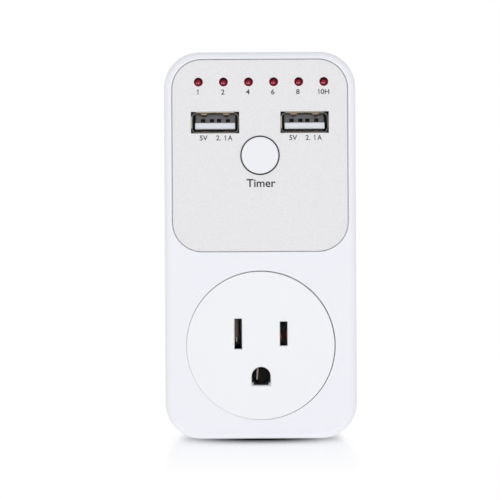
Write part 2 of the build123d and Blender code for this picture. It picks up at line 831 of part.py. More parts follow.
for name, x in (("line", line_x), ("neutral", neutral_x)):
    # two spring leaves folded from one strip, open towards the user, that grip a plug blade
    with BuildPart() as contact:
        with BuildSketch(Plane.XY.offset(blade_height - blade_width / 2 - clip_slot_margin)):
            with BuildLine():
                FilletPolyline(
                    (x + clip_mouth, clip_start),
                    (x + clip_pinch + strip_thickness / 2, leaf_pinch),
                    (x + clip_body, leaf_bend),
                    (x + clip_body, clip_end),
                    (x - clip_body, clip_end),
                    (x - clip_body, leaf_bend),
                    (x - clip_pinch - strip_thickness / 2, leaf_pinch),
                    (x - clip_mouth, clip_start),
                    radius=strip_bend_radius)
            trace(line_width=strip_thickness)
        extrude(amount=blade_width + 2 * clip_slot_margin)
        if name == "neutral":
            # this tail runs straight back to its blade
            block(x, blade_height, tail_thickness, tail_width, clip_back - strip_thickness / 2,
                  shoulder_front)
        else:
            # this tail turns up behind the cover to take the switched wire
            block(x, blade_height, tail_thickness, tail_width, clip_back - strip_thickness / 2,
                  cover_back + tail_thickness)
            block(x + line_tail_shift, (line_tail_top + blade_height - tail_width / 2) / 2, line_tail_width,
                  line_tail_top - blade_height + tail_width / 2, cover_back, cover_back + tail_thickness)
    save(contact, f"{name}_contact")

with BuildPart() as ground_contact:
    post(0, ground_height, sleeve_radius + sleeve_wall, clip_front, sleeve_back + sleeve_base)
    post(0, ground_height, sleeve_radius, clip_front, sleeve_back, Mode.SUBTRACT)
    block(0, ground_height, sleeve_slit, 3 * sleeve_radius, clip_front, sleeve_back - sleeve_collar,
          Mode.SUBTRACT)
save(ground_contact, "ground_contact")

# ==== Plug ====
for name, x in (("line", line_x), ("neutral", neutral_x)):
    with BuildPart() as blade:
        block(x, blade_height, blade_thickness, blade_width, anchor_front, plug_face + blade_length)
        chamfer(blade.faces().sort_by(Axis.Y)[-1].edges(), blade_tip_chamfer)
        block(x, blade_height, blade_thickness, blade_width + 2 * blade_shoulder_extra,
              shoulder_front, anchor_front)
        if name == "line":
            block(x, blade_height, blade_thickness, blade_width + 2 * blade_shoulder_extra,
                  shoulder_front - line_blade_tab, shoulder_front)
        with Locations((x, plug_face + blade_length - blade_hole_inset - body_depth / 2, blade_height)):
            Cylinder(blade_hole_radius, 2 * blade_thickness, rotation=(0, 90, 0), mode=Mode.SUBTRACT)
    save(blade, f"{name}_blade")

with BuildPart() as ground_pin:
    post(0, ground_height, ground_pin_radius, plug_face, plug_face + ground_pin_length)
    fillet(ground_pin.faces().sort_by(Axis.Y)[-1].edges(), ground_pin_tip_radius)
    post(0, ground_height, ground_pin_root_radius, anchor_front, plug_face)
    post(0, ground_height, ground_pin_flange_radius, shoulder_front, anchor_front)
    post(0, ground_height, ground_neck_radius, sleeve_back + sleeve_base, shoulder_front)
save(ground_pin, "ground_pin")

# ==== Control board, behind the lamps, ports and button ====
def board_outline(bottom):
    """A circuit board's outline from this height up to the top, on the active sketch."""
    with Locations((0, (bottom + board_top) / 2)):
        Rectangle(board_width, board_top - bottom)
    fillet(vertices().group_by(Axis.Y)[-1], board_corner_radius)


with BuildPart() as control_board:
    with BuildSketch(plane_at(control_board_back)):
        board_outline(control_board_bottom)
        for x, z in screw_places:
            with Locations((x, z)):
                Circle(boss_radius + board_notch_gap, mode=Mode.SUBTRACT)
        with Locations(*control_screw_places):
            Circle(board_screw_radius + screw_hole_clearance, mode=Mode.SUBTRACT)
        with Locations(*lead_places):
            Circle(lead_hole_radius, mode=Mode.SUBTRACT)
        for x in port_places:
            for end in (-1, 1):
                with Locations((x + end * (shell_width - shell_wall) / 2, port_height)):
                    Rectangle(shell_wall + 2 * board_slot_spare, shell_leg_width + 2 * board_slot_spare,
                              mode=Mode.SUBTRACT)
            with Locations(*[(x + across, tongue_top) for across in port_contact_places]):
                Circle(port_contact_width / 2 + board_slot_spare, mode=Mode.SUBTRACT)
        with Locations(*tact_terminal_places):
            Circle(tact_terminal_width / 2 + board_slot_spare, mode=Mode.SUBTRACT)
        with Locations((0, header_height)):
            with GridLocations(header_pitch, 1, header_pins_across, 1):
                Circle(header_pin / 2 + header_hole_spare, mode=Mode.SUBTRACT)
    extrude(amount=board_thickness)
save(control_board, "control_board")

with BuildPart() as control_chips:
    chip_row = control_board_bottom + chip_row_above_edge
    block(timer_chip_x, chip_row, timer_chip_width, chip_length, control_board_back,
          control_board_back + chip_rise)
    for x in charge_chip_places:
        block(x, chip_row, charge_chip_width, chip_length, control_board_back,
              control_board_back + chip_rise)
save(control_chips, "control_chips")

with BuildPart() as lamp_resistors:
    for x in lamp_places:
        block(x, lamp_height, resistor_width, resistor_length, control_board_back,
              control_board_back + resistor_rise)
save(lamp_resistors, "lamp_resistors")

with BuildPart() as board_screws:
    for x, z in control_screw_places:
        post(x, z, board_screw_radius, control_board_front - board_screw_bite, control_board_back)
        post(x, z, board_screw_head_radius, control_board_back, control_board_back + board_screw_head)
    for x, z in power_screw_places:
        post(x, z, board_screw_radius, power_board_front,
             power_board_back + board_screw_bite - screw_tip_gap)
        post(x, z, board_screw_head_radius, power_board_front - board_screw_head, power_board_front)
save(board_screws, "board_screws")

# ==== Link between the boards ====
with BuildPart() as header_strip:
    block(0, header_height, header_pins_across * header_pitch, header_pitch,
          power_board_front - header_pitch, power_board_front)
    with Locations((0, (power_board_front - header_pitch / 2) - body_depth / 2, header_height)):
        with GridLocations(header_pitch, 1, header_pins_across, 1):
            Box(header_pin, header_pitch, header_pin, mode=Mode.SUBTRACT)
save(header_strip, "header_strip")

with BuildPart() as header_pins:
    for i in range(header_pins_across):
        block((i - (header_pins_across - 1) / 2) * header_pitch, header_height, header_pin, header_pin,
              control_board_front - header_pin_front_tail, power_board_back + pin_tail)
save(header_pins, "header_pins")

# ==== Power board, behind the relay and transformer ====
with BuildPart() as power_board:
    with BuildSketch(plane_at(power_board_back)):
        board_outline(power_board_bottom)
        for x, z in screw_places:
            with Locations((x, z)):
                Circle(column_radius + board_notch_gap, mode=Mode.SUBTRACT)
        with Locations(*power_screw_places):
            Circle(board_screw_radius + screw_hole_clearance, mode=Mode.SUBTRACT)
        with Locations((0, header_height)):
            with GridLocations(header_pitch, 1, header_pins_across, 1):
                Circle(header_pin / 2 + header_hole_spare, mode=Mode.SUBTRACT)
    extrude(amount=board_thickness)
save(power_board, "power_board")


def rise_to(height):
    """Depth of a point that stands this far in front of the power board."""
    return power_board_front - height


# relay: the coil pulls the armature's far end onto the core, and its spring leaf closes the contact
relay_x = relay_side_gap + relay_width / 2 - board_width / 2
relay_z = tall_row_bottom + relay_height / 2
relay_inner_width = relay_width - 2 * relay_cover_wall
relay_inner_height = relay_height - 2 * relay_cover_wall
yoke_right = relay_x + relay_inner_width / 2 - relay_yoke_gap
yoke_left = yoke_right - relay_iron
coil_x = yoke_left - relay_coil_gap - relay_flange_width / 2
armature_rise = relay_rise - relay_cover_wall - relay_headroom - relay_leaf_thickness - relay_iron
pole_rise = armature_rise - relay_pole_gap
tube_start = relay_base_rise + relay_iron
tube_end = pole_rise - relay_pole_rise
relay_tube_radius = relay_core_radius + relay_fit + relay_tube_wall
armature_left = coil_x - relay_flange_width / 2 - relay_armature_overhang
contact_left = relay_x - relay_inner_width / 2 + relay_contact_gap
contact_x = contact_left + relay_fixed_strip + relay_rivet_radius

with BuildPart() as relay_base:
    block(relay_x, relay_z, relay_inner_width - 2 * relay_fit, relay_inner_height - 2 * relay_fit,
          rise_to(relay_base_rise), rise_to(0))
save(relay_base, "relay_base")

with BuildPart() as relay_cover:
    block(relay_x, relay_z, relay_width, relay_height, rise_to(relay_rise), rise_to(relay_cover_lift))
    fillet(relay_cover.edges().filter_by(Axis.Y), relay_cover_radius)
    block(relay_x, relay_z, relay_inner_width, relay_inner_height, rise_to(relay_rise - relay_cover_wall),
          rise_to(relay_cover_lift), Mode.SUBTRACT)
save(relay_cover, "relay_cover")

with BuildPart() as relay_yoke:
    foot_left = coil_x - relay_pole_radius
    block((foot_left + yoke_right) / 2, relay_z, yoke_right - foot_left, relay_iron_height,
          rise_to(tube_start), rise_to(relay_base_rise))
    block((yoke_left + yoke_right) / 2, relay_z, relay_iron, relay_iron_height,
          rise_to(armature_rise - relay_hinge_gap), rise_to(relay_base_rise))
    post(coil_x, relay_z, relay_core_radius, rise_to(pole_rise), rise_to(relay_base_rise))
    post(coil_x, relay_z, relay_pole_radius, rise_to(pole_rise), rise_to(tube_end))
save(relay_yoke, "relay_yoke")

with BuildPart() as relay_bobbin:
    post(coil_x, relay_z, relay_tube_radius, rise_to(tube_end), rise_to(tube_start))
    for low in (tube_start, tube_end - relay_flange):
        block(coil_x, relay_z, relay_flange_width, relay_flange_height, rise_to(low + relay_flange),
              rise_to(low))
    post(coil_x, relay_z, relay_core_radius + relay_fit, rise_to(tube_end), rise_to(tube_start),
         Mode.SUBTRACT)
save(relay_bobbin, "relay_bobbin")

with BuildPart() as relay_coil:
    post(coil_x, relay_z, relay_coil_radius, rise_to(tube_end - relay_flange),
         rise_to(tube_start + relay_flange))
    post(coil_x, relay_z, relay_tube_radius, rise_to(tube_end - relay_flange),
         rise_to(tube_start + relay_flange), Mode.SUBTRACT)
save(relay_coil, "relay_coil")

with BuildPart() as relay_armature:
    block((armature_left + yoke_right) / 2, relay_z, yoke_right - armature_left, relay_iron_height,
          rise_to(armature_rise + relay_iron), rise_to(armature_rise))
save(relay_armature, "relay_armature")

with BuildPart() as relay_leaf:
    leaf_rise = armature_rise + relay_iron
    leaf_left = contact_x - relay_rivet_radius
    leaf_right = coil_x + relay_pole_radius
    block((leaf_left + leaf_right) / 2, relay_z, leaf_right - leaf_left, relay_leaf_height,
          rise_to(leaf_rise + relay_leaf_thickness), rise_to(leaf_rise))
    post(contact_x, relay_z, relay_rivet_radius, rise_to(leaf_rise), rise_to(leaf_rise - relay_rivet_rise))
save(relay_leaf, "relay_leaf")

with BuildPart() as relay_fixed_contact:
    rivet_rise = leaf_rise - relay_rivet_rise - relay_fixed_gap
    strip_rise = rivet_rise - relay_fixed_strip
    block(contact_left + relay_fixed_strip / 2, relay_z, relay_fixed_strip, relay_leaf_height,
          rise_to(strip_rise), rise_to(relay_base_rise))
    block((contact_left + contact_x + relay_rivet_radius) / 2, relay_z,
          contact_x + relay_rivet_radius - contact_left, relay_leaf_height,
          rise_to(strip_rise), rise_to(strip_rise - relay_fixed_strip))
    post(contact_x, relay_z, relay_rivet_radius, rise_to(rivet_rise), rise_to(strip_rise))
save(relay_fixed_contact, "relay_fixed_contact")

# transformer: an upright ferrite core on its pinned bobbin
transformer_x = board_width / 2 - transformer_side_gap - core_width / 2
transformer_z = tall_row_bottom + relay_height / 2
core_window = (core_width - centre_leg) / 2 - core_leg
window_top = core_rise - core_leg
window_bottom = core_foot + core_leg

with BuildPart() as transformer_core:
    block(transformer_x, transformer_z, core_width, core_thickness, rise_to(core_rise),
          rise_to(core_foot))
    for end in (-1, 1):
        block(transformer_x + end * (centre_leg + core_window) / 2, transformer_z, core_window,
              core_thickness, rise_to(window_top), rise_to(window_bottom), Mode.SUBTRACT)
save(transformer_core, "transformer_core")

with BuildPart() as transformer_bobbin:
    tube_width = centre_leg + 2 * (winding_gap / 2 + bobbin_wall)
    tube_height = core_thickness + 2 * (winding_gap / 2 + bobbin_wall)
    block(transformer_x, transformer_z, core_width - 2 * bobbin_spare, bobbin_height, rise_to(core_foot),
          rise_to(0))
    block(transformer_x, transformer_z, tube_width, tube_height, rise_to(window_top),
          rise_to(window_bottom))
    block(transformer_x, transformer_z, centre_leg + winding_gap, core_thickness + winding_gap,
          rise_to(window_top), rise_to(window_bottom), Mode.SUBTRACT)
    for end in (-1, 1):
        block(transformer_x, transformer_z + end * (tube_height - bobbin_wall) / 2, tube_width,
              bobbin_wall, rise_to(window_bottom), rise_to(core_foot))
save(transformer_bobbin, "transformer_bobbin")

with BuildPart() as transformer_winding:
    block(transformer_x, transformer_z, centre_leg + 2 * (core_window - winding_gap),
          core_thickness + 2 * winding_build, rise_to(window_top - winding_gap),
          rise_to(window_bottom + winding_gap))
    fillet(transformer_winding.edges().filter_by(Axis.Y), winding_corner_radius)
    block(transformer_x, transformer_z, tube_width + winding_gap, tube_height + winding_gap,
          rise_to(core_rise), rise_to(core_foot), Mode.SUBTRACT)
save(transformer_winding, "transformer_winding")

bulk_can_x = bulk_can_side_gap + bulk_can_radius - board_width / 2
varistor_height = header_height + varistor_above_header

with BuildPart() as bulk_capacitor:
    post(bulk_can_x, header_height + bulk_can_above_header, bulk_can_radius, rise_to(bulk_can_rise),
         rise_to(0))
    fillet(bulk_capacitor.faces().sort_by(Axis.Y)[0].edges(), can_edge_radius)
save(bulk_capacitor, "bulk_capacitor")

with BuildPart() as output_capacitors:
    for above in output_can_above_header:
        post(board_width / 2 - output_can_side_gap - output_can_radius, header_height + above,
             output_can_radius, rise_to(output_can_rise), rise_to(0))
    fillet(output_capacitors.faces().sort_by(Axis.Y)[0].edges(), can_edge_radius)
save(output_capacitors, "output_capacitors")

with BuildPart() as varistor:
    disc_rise = varistor_lift + varistor_radius
    with Locations((bulk_can_x, rise_to(disc_rise) - body_depth / 2, varistor_height)):
        Cylinder(varistor_radius, varistor_thickness)
    for end in (-1, 1):
        post(bulk_can_x + end * varistor_lead_pitch / 2, varistor_height, lead_wire_radius,
             rise_to(disc_rise), rise_to(0))
save(varistor, "varistor")

with BuildPart() as fuse:
    with Locations((fuse_x, rise_to(fuse_radius) - body_depth / 2, header_height + fuse_above_header)):
        Cylinder(fuse_radius, fuse_length, rotation=(0, 90, 0))
save(fuse, "fuse")

with BuildPart() as power_chips:
    block(power_chip_x, header_height + bridge_above_header, bridge_width, chip_length,
          rise_to(bridge_rise), rise_to(0))
    block(power_chip_x, header_height + switcher_above_header, switcher_width, chip_length,
          rise_to(switcher_rise), rise_to(0))
save(power_chips, "power_chips")

# ==== Wires between the outlet, the plug and the power board ====
wire_depth = power_board_front - wire_radius - body_depth / 2
wire_end = power_board_bottom + wire_landing


def bent_route(start, end_x):
    """Corners of a wire that climbs from its start to this x on the power board's lower edge."""
    x, y, z = start
    climb = wire_end - z
    return [start, (x, y, z + wire_first_bend * climb), (end_x, wire_depth, z + wire_last_bend * climb),
            (end_x, wire_depth, wire_end)]


wire_routes = {
    "neutral_wire": [(neutral_x, wire_depth, blade_height + tail_width / 2),
                     (neutral_x, wire_depth, wire_end)],
    "line_wire": bent_route((line_x, wire_depth, blade_height + blade_width / 2 + blade_shoulder_extra),
                            line_wire_end_x),
    "switched_wire": bent_route((line_x + switched_wire_shift,
                                 cover_back + tail_thickness / 2 - body_depth / 2, line_tail_top),
                                switched_wire_end_x),
}
for name, points in wire_routes.items():
    with BuildPart() as wire:
        with BuildLine() as route:
            if len(points) == 2:
                Line(*points)
            else:
                FilletPolyline(*points, radius=wire_bend_radius)
        with BuildSketch(Plane(origin=route.line @ 0, z_dir=route.line % 0)):
            Circle(wire_radius)
        sweep()
    save(wire, name)
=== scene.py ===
"""Plug-in timer switch: a wall-plug body with a switched outlet, two USB ports, six hour
lamps and one push button, standing on its lower end on a pale studio floor."""

import bpy
import numpy as np
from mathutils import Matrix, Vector


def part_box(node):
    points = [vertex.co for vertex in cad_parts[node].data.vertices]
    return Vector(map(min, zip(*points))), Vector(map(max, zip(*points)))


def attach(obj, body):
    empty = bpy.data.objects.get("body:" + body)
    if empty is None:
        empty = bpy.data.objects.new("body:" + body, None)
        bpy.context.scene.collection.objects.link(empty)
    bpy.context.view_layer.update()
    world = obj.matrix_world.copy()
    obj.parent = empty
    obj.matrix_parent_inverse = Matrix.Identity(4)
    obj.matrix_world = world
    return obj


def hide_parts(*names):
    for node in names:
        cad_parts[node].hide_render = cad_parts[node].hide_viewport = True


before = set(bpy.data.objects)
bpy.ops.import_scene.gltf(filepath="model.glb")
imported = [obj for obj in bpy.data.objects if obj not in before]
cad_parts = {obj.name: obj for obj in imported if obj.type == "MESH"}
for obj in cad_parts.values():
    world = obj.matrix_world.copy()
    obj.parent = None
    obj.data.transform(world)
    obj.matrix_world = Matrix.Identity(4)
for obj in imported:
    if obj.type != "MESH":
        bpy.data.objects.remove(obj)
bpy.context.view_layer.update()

MM = 0.001

# ==== Housing shells ====
# Two white ABS mouldings that meet at a chamfered seam and are screwed together from the back.
# The tool's skin is spark eroded, so the plastic has a very fine, even grain with a soft sheen.


def linear(colour):
    """An sRGB hex colour as linear red, green, blue and alpha. A channel c from 0 to 1 becomes
    c / 12.92 up to 0.04045, and ((c + 0.055) / 1.055) to the power 2.4 above that."""
    channels = [int(colour[i:i + 2], 16) / 255 for i in (1, 3, 5)]
    return [c / 12.92 if c <= 0.04045 else ((c + 0.055) / 1.055) ** 2.4 for c in channels] + [1.0]


def add(tree, kind, links=None, **settings):
    """Add one node. Links gives its inputs as numbers, colours or other nodes' sockets."""
    node = tree.nodes.new(kind)
    for name, value in settings.items():
        setattr(node, name, value)
    for name, value in (links or {}).items():
        if isinstance(value, bpy.types.NodeSocket):
            tree.links.new(value, node.inputs[name])
        else:
            node.inputs[name].default_value = value
    return node


def start(name, **shader):
    """An empty material of this name with a shader on its output, and its Object coordinates."""
    material = bpy.data.materials.new(name)
    material.use_nodes = True
    tree = material.node_tree
    tree.nodes.clear()
    surface = add(tree, "ShaderNodeBsdfPrincipled", {k.replace("_", " "): v for k, v in shader.items()})
    add(tree, "ShaderNodeOutputMaterial", {"Surface": surface.outputs[0]})
    place = add(tree, "ShaderNodeTexCoord").outputs["Object"]
    return material, tree, surface, place


def surfaced(tree, surface, colour, gloss, relief):
    """Lead the outputs of these nodes into the shader's colour, roughness and normal."""
    tree.links.new(colour.outputs["Result"], surface.inputs["Base Color"])
    tree.links.new(gloss.outputs["Result"], surface.inputs["Roughness"])
    tree.links.new(relief.outputs["Normal"], surface.inputs["Normal"])


def moulded(name, colour, shade, grain=0.35, depth=0.006, rough=(0.36, 0.46), patch=22.0, **shader):
    """Injection-moulded plastic: a spark-eroded grain of this width and depth in millimetres,
    and a slow drift between two close colours over patches of this width in millimetres."""
    material, tree, surface, place = start(name, **shader)
    fine = add(tree, "ShaderNodeTexNoise", {"Vector": place, "Scale": 1 / (grain * MM), "Detail": 3.0})
    broad = add(tree, "ShaderNodeTexNoise", {"Vector": place, "Scale": 1 / (patch * MM), "Detail": 2.0})
    drift = add(tree, "ShaderNodeMix", {"Factor": broad.outputs["Fac"], "A": linear(colour),
                                        "B": linear(shade)}, data_type="RGBA")
    gloss = add(tree, "ShaderNodeMapRange", {"Value": fine.outputs["Fac"], "To Min": rough[0],
                                             "To Max": rough[1]})
    relief = add(tree, "ShaderNodeBump", {"Height": fine.outputs["Fac"], "Distance": depth * MM})
    surfaced(tree, surface, drift, gloss, relief)
    return material


def dress(material, *nodes):
    """Give these CAD nodes this material."""
    for name in nodes:
        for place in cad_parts[name].material_slots:
            place.material = material


shell_white = moulded("moulded_white_abs_shell", "#eff0f5", "#ecedf3", IOR=1.53)
dress(shell_white, "front_housing", "rear_housing")

# ==== Housing screws ====
# Four self-cutting steel screws with a cross recess, zinc plated, deep in the back's columns. The
# smaller screws of the boards and of the contact stack are of the same steel.
cloud_width = 2.5 * MM


def plated(name, colour, shade, lines=0.08, stretch=(1.0, 14.0, 1.0), rough=(0.26, 0.42), depth=0.002,
           **shader):
    """Drawn or rolled metal with a thin plating: fine lines of this width in millimetres, drawn
    out along one axis by stretch, vary the gloss and the surface, and clouds vary the tone."""
    material, tree, surface, place = start(name, Metallic=1.0, **shader)
    drawn = add(tree, "ShaderNodeMapping", {"Vector": place, "Scale": [1 / s for s in stretch]})
    fine = add(tree, "ShaderNodeTexNoise", {"Vector": drawn.outputs[0], "Scale": 1 / (lines * MM),
                                            "Detail": 4.0, "Roughness": 0.6})
    cloud = add(tree, "ShaderNodeTexNoise", {"Vector": place, "Scale": 1 / cloud_width, "Detail": 3.0})
    tone = add(tree, "ShaderNodeMix", {"Factor": cloud.outputs["Fac"], "A": linear(colour),
                                       "B": linear(shade)}, data_type="RGBA")
    gloss = add(tree, "ShaderNodeMapRange", {"Value": fine.outputs["Fac"], "To Min": rough[0],
                                             "To Max": rough[1]})
    relief = add(tree, "ShaderNodeBump", {"Height": fine.outputs["Fac"], "Distance": depth * MM})
    surfaced(tree, surface, tone, gloss, relief)
    return material


zinc_screw = plated("zinc_plated_screw_steel", "#b9babd", "#a3a5aa", rough=(0.28, 0.45))
dress(zinc_screw, "housing_screws", "board_screws", "carrier_screws")

# ==== Front panel ====
# A thin dark plate glued into the recess, its face sprayed with silver lacquer. The flakes are
# finer than the eye resolves, so they are drawn 0.12 mm wide. The cut edges are drawn near black:
# partly the bare plate, and partly painted shade for the dark gap line round the panel.
flake_width = 0.12 * MM
peel_width = 1.6 * MM
peel_depth = 0.004 * MM
sprayed_tilt = -0.7
panel_material, tree, surface, place = start("silver_lacquered_plate", Coat_Weight=0.1,
                                             Coat_Roughness=0.3)
flakes = add(tree, "ShaderNodeTexVoronoi", {"Vector": place, "Scale": 1 / flake_width})
sparkle = add(tree, "ShaderNodeSeparateColor", {"Color": flakes.outputs["Color"]})
peel = add(tree, "ShaderNodeTexNoise", {"Vector": place, "Scale": 1 / peel_width, "Detail": 2.0})
silver = add(tree, "ShaderNodeMix", {"Factor": sparkle.outputs[0], "A": linear("#dddcde"),
                                     "B": linear("#eae9eb")}, data_type="RGBA")
# the spray reaches what faces forwards: there the normal's y is below the tilt
normal = tree.nodes["Texture Coordinate"].outputs["Normal"]
facing = add(tree, "ShaderNodeSeparateXYZ", {"Vector": normal})
sprayed = add(tree, "ShaderNodeMath", {0: facing.outputs["Y"], 1: sprayed_tilt}, operation="LESS_THAN")
# the edges' near black is partly painted shade in the gap round the panel
cover = add(tree, "ShaderNodeMix", {"Factor": sprayed.outputs[0], "A": linear("#1c1d1f"),
                                    "B": silver.outputs["Result"]}, data_type="RGBA")
shine = add(tree, "ShaderNodeMath", {0: sprayed.outputs[0], 1: 0.5}, operation="MULTIPLY")
tree.links.new(shine.outputs[0], surface.inputs["Metallic"])
satin = add(tree, "ShaderNodeMapRange", {"Value": sparkle.outputs[1], "To Min": 0.38, "To Max": 0.5})
peel_relief = add(tree, "ShaderNodeBump", {"Height": peel.outputs["Fac"], "Distance": peel_depth})
surfaced(tree, surface, cover, satin, peel_relief)
dress(panel_material, "front_panel")

# ==== Printing on the panel ====
# Hour numbers under the lamps, the rating under each port and the button's word, pad printed in
# dark grey ink about 15 micrometres thick on the lacquer.
ink_thickness = 0.015 * MM
panel_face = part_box("front_panel")[0].y
font_stroke = 0.016
ink = moulded("pad_printing_ink", "#242528", "#303134", grain=0.1, depth=0.002, rough=(0.5, 0.65),
              patch=1.2)


def flagged_one():
    """A figure 1 as an outline: an upright bar with a short flag that slopes down to the left."""
    curve = bpy.data.curves.new("figure", "CURVE")
    curve.dimensions = "2D"
    curve.fill_mode = "BOTH"
    line = curve.splines.new("POLY")
    points = [(0.26, 0), (0.42, 0), (0.42, 1), (0.29, 1), (0.10, 0.84), (0.10, 0.68), (0.26, 0.80)]
    line.points.add(len(points) - 1)
    for point, (px, py) in zip(line.points, points):
        point.co = (px, py, 0, 1)
    line.use_cyclic_u = True
    return curve


def printed(name, words):
    """Words laid flat on the panel as one mesh. Each is text, centre x, centre height, width and
    letter height in millimetres; the font's outline, made a little bolder, is scaled to that."""
    verts, faces, count = [], [], 0
    for text, x, z, width, height in words:
        if text == "1":
            curve = flagged_one()
        else:
            curve = bpy.data.curves.new(name, "FONT")
            curve.body = text
            curve.offset = font_stroke
        curve.extrude = 0.02
        carrier = bpy.data.objects.new(name, curve)
        bpy.context.scene.collection.objects.link(carrier)
        bpy.context.view_layer.update()
        shown = carrier.evaluated_get(bpy.context.evaluated_depsgraph_get())
        mesh = bpy.data.meshes.new_from_object(shown)
        flat = np.empty(len(mesh.vertices) * 3)
        mesh.vertices.foreach_get("co", flat)
        flat = flat.reshape(-1, 3)
        low, high = flat.min(0), flat.max(0)
        unit = (flat - (low + high) / 2) / (high - low)
        # the font's x becomes the part's x, its y becomes height, and its depth faces forwards
        verts.append(np.stack([x * MM + unit[:, 0] * width * MM,
                               panel_face - ink_thickness * (unit[:, 2] + 0.5),
                               z * MM + unit[:, 1] * height * MM], axis=1))
        faces += [[count + v for v in polygon.vertices] for polygon in mesh.polygons]
        count += len(flat)
        bpy.data.objects.remove(carrier)
        bpy.data.meshes.remove(mesh)
    mesh = bpy.data.meshes.new(name)
    mesh.from_pydata(np.concatenate(verts).tolist(), [], faces)
    piece = bpy.data.objects.new(name, mesh)
    bpy.context.scene.collection.objects.link(piece)
    mesh.materials.append(ink)
    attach(piece, "housing")


number_height = 1.45
number_line = 96.8
hours = [("1", -17.3, 0.42), ("2", -10.3, 0.95), ("4", -3.3, 1.0), ("6", 3.65, 0.95),
         ("8", 10.65, 0.95), ("1", 16.45, 0.42), ("0H", 18.2, 2.4)]
printed("hour_numbers", [(text, x, number_line, width, number_height) for text, x, width in hours])
rating_height = 1.4
rating_line = 84.0
port_ratings = []
for port_x, left in ((-12.5, 3.2), (12.45, 3.15)):
    for text, x, width in (("5V", -left, 2.2), ("2.", 0.95, 1.3), ("1", 2.8, 0.4), ("A", 4.2, 1.25)):
        port_ratings.append((text, port_x + x, rating_line, width, rating_height))
printed("port_ratings", port_ratings)
printed("button_word", [("Timer", 0.25, 71.35, 8.1, 2.3)])

# ==== Hour lamps ====
# Six 3 mm lamps cast in red-tinted epoxy, pushed up behind the panel's holes by a white spacer.
# The resin is drawn darker upwards as painted shade, and two pale specks low on each lamp are
# painted highlights.
highlight_places = (-0.5 * MM, 0.08 * MM)
highlight_radii = (0.22 * MM, 0.2 * MM)
highlight_drop = 0.34 * MM
painted_shade_span = 1.2 * MM
swirl_width = 0.9 * MM
lamp_material, tree, surface, place = start("red_tinted_epoxy", Roughness=0.12, IOR=1.3)
lamp_nodes = [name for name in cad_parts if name.startswith("lamp_") and name.endswith("h")]
lamp_boxes = [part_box(name) for name in ("lamp_1h", "lamp_2h")]
lamp_x, next_x = [(low.x + high.x) / 2 for low, high in lamp_boxes]
lamp_z = (lamp_boxes[0][0].z + lamp_boxes[0][1].z) / 2
pitch = next_x - lamp_x
swirl = add(tree, "ShaderNodeTexNoise", {"Vector": place, "Scale": 1 / swirl_width, "Detail": 2.0})
within = add(tree, "ShaderNodeSeparateXYZ", {"Vector": place})
# painted shade: the resin is drawn darker from below the lamp's middle to above it
rise = add(tree, "ShaderNodeMapRange", {"Value": within.outputs["Z"], "From Min": lamp_z - painted_shade_span,
                                        "From Max": lamp_z + painted_shade_span})
blend = add(tree, "ShaderNodeMath", {0: swirl.outputs["Fac"], 1: 0.4, 2: rise.outputs["Result"]},
            operation="MULTIPLY_ADD")
blend = add(tree, "ShaderNodeMath", {0: blend.outputs[0], 1: 0.2}, operation="SUBTRACT",
            use_clamp=True)
resin = add(tree, "ShaderNodeMix", {"Factor": blend.outputs[0], "A": linear("#c42844"),
                                    "B": linear("#4a0812")}, data_type="RGBA").outputs["Result"]
# every lamp repeats at the row's pitch, so a place across is folded back to the first lamp's
across = add(tree, "ShaderNodeMath", {0: within.outputs["X"], 1: lamp_x - pitch / 2},
             operation="SUBTRACT")
across = add(tree, "ShaderNodeMath", {0: across.outputs[0], 1: pitch}, operation="MODULO")
seat = add(tree, "ShaderNodeCombineXYZ", {"X": across.outputs[0], "Z": within.outputs["Z"]})
# two painted highlights, pale pink specks, low on each lamp
for speck_x, radius in zip(highlight_places, highlight_radii):
    speck = (pitch / 2 + speck_x, 0, lamp_z - highlight_drop)
    off = add(tree, "ShaderNodeVectorMath", {0: seat.outputs[0], 1: speck}, operation="DISTANCE")
    highlight_mask = add(tree, "ShaderNodeMapRange", {"Value": off.outputs["Value"], "From Min": radius,
                                            "From Max": 0.4 * radius, "To Max": 0.75})
    resin = add(tree, "ShaderNodeMix", {"Factor": highlight_mask.outputs["Result"], "A": resin,
                                        "B": linear("#f2c4cc")}, data_type="RGBA").outputs["Result"]
tree.links.new(resin, surface.inputs["Base Color"])
dress(lamp_material, *lamp_nodes)
dress(moulded("moulded_white_nylon_spacer", "#e4e4e0", "#dcdcd6", rough=(0.5, 0.6)), "lamp_spacer")
tinned = plated("tinned_wire", "#c8c9cb", "#b4b5b8", lines=0.05)
dress(tinned, "lamp_leads", "tact_terminals", "header_pins")

# ==== USB ports ====
# Each port is a can of nickel-plated steel sheet, folded round and butted at a seam above its
# middle. Its mouth flares in four lips, parted at the corners, and four spring fingers, cut out
# of its top and bottom, grip the plug.
sheet_thickness = 0.3 * MM
mouth_roll = 0.13 * MM
roll_reach = 0.35 * MM
seam_gap = 0.16 * MM
corner_radius = 1.2 * MM
lip_depth = 2.0 * MM
window_half_width = 1.15 * MM
window_front = 1.6 * MM
window_back = 7.8 * MM
finger_offset = 3.1 * MM
finger_half_width = 0.85 * MM
finger_sheet = 0.25 * MM
finger_root = 7.9 * MM
finger_length = 6.0 * MM
finger_bow = 0.75 * MM
finger_dish = 0.8
bow_span = 0.86
bow_end = 1.16


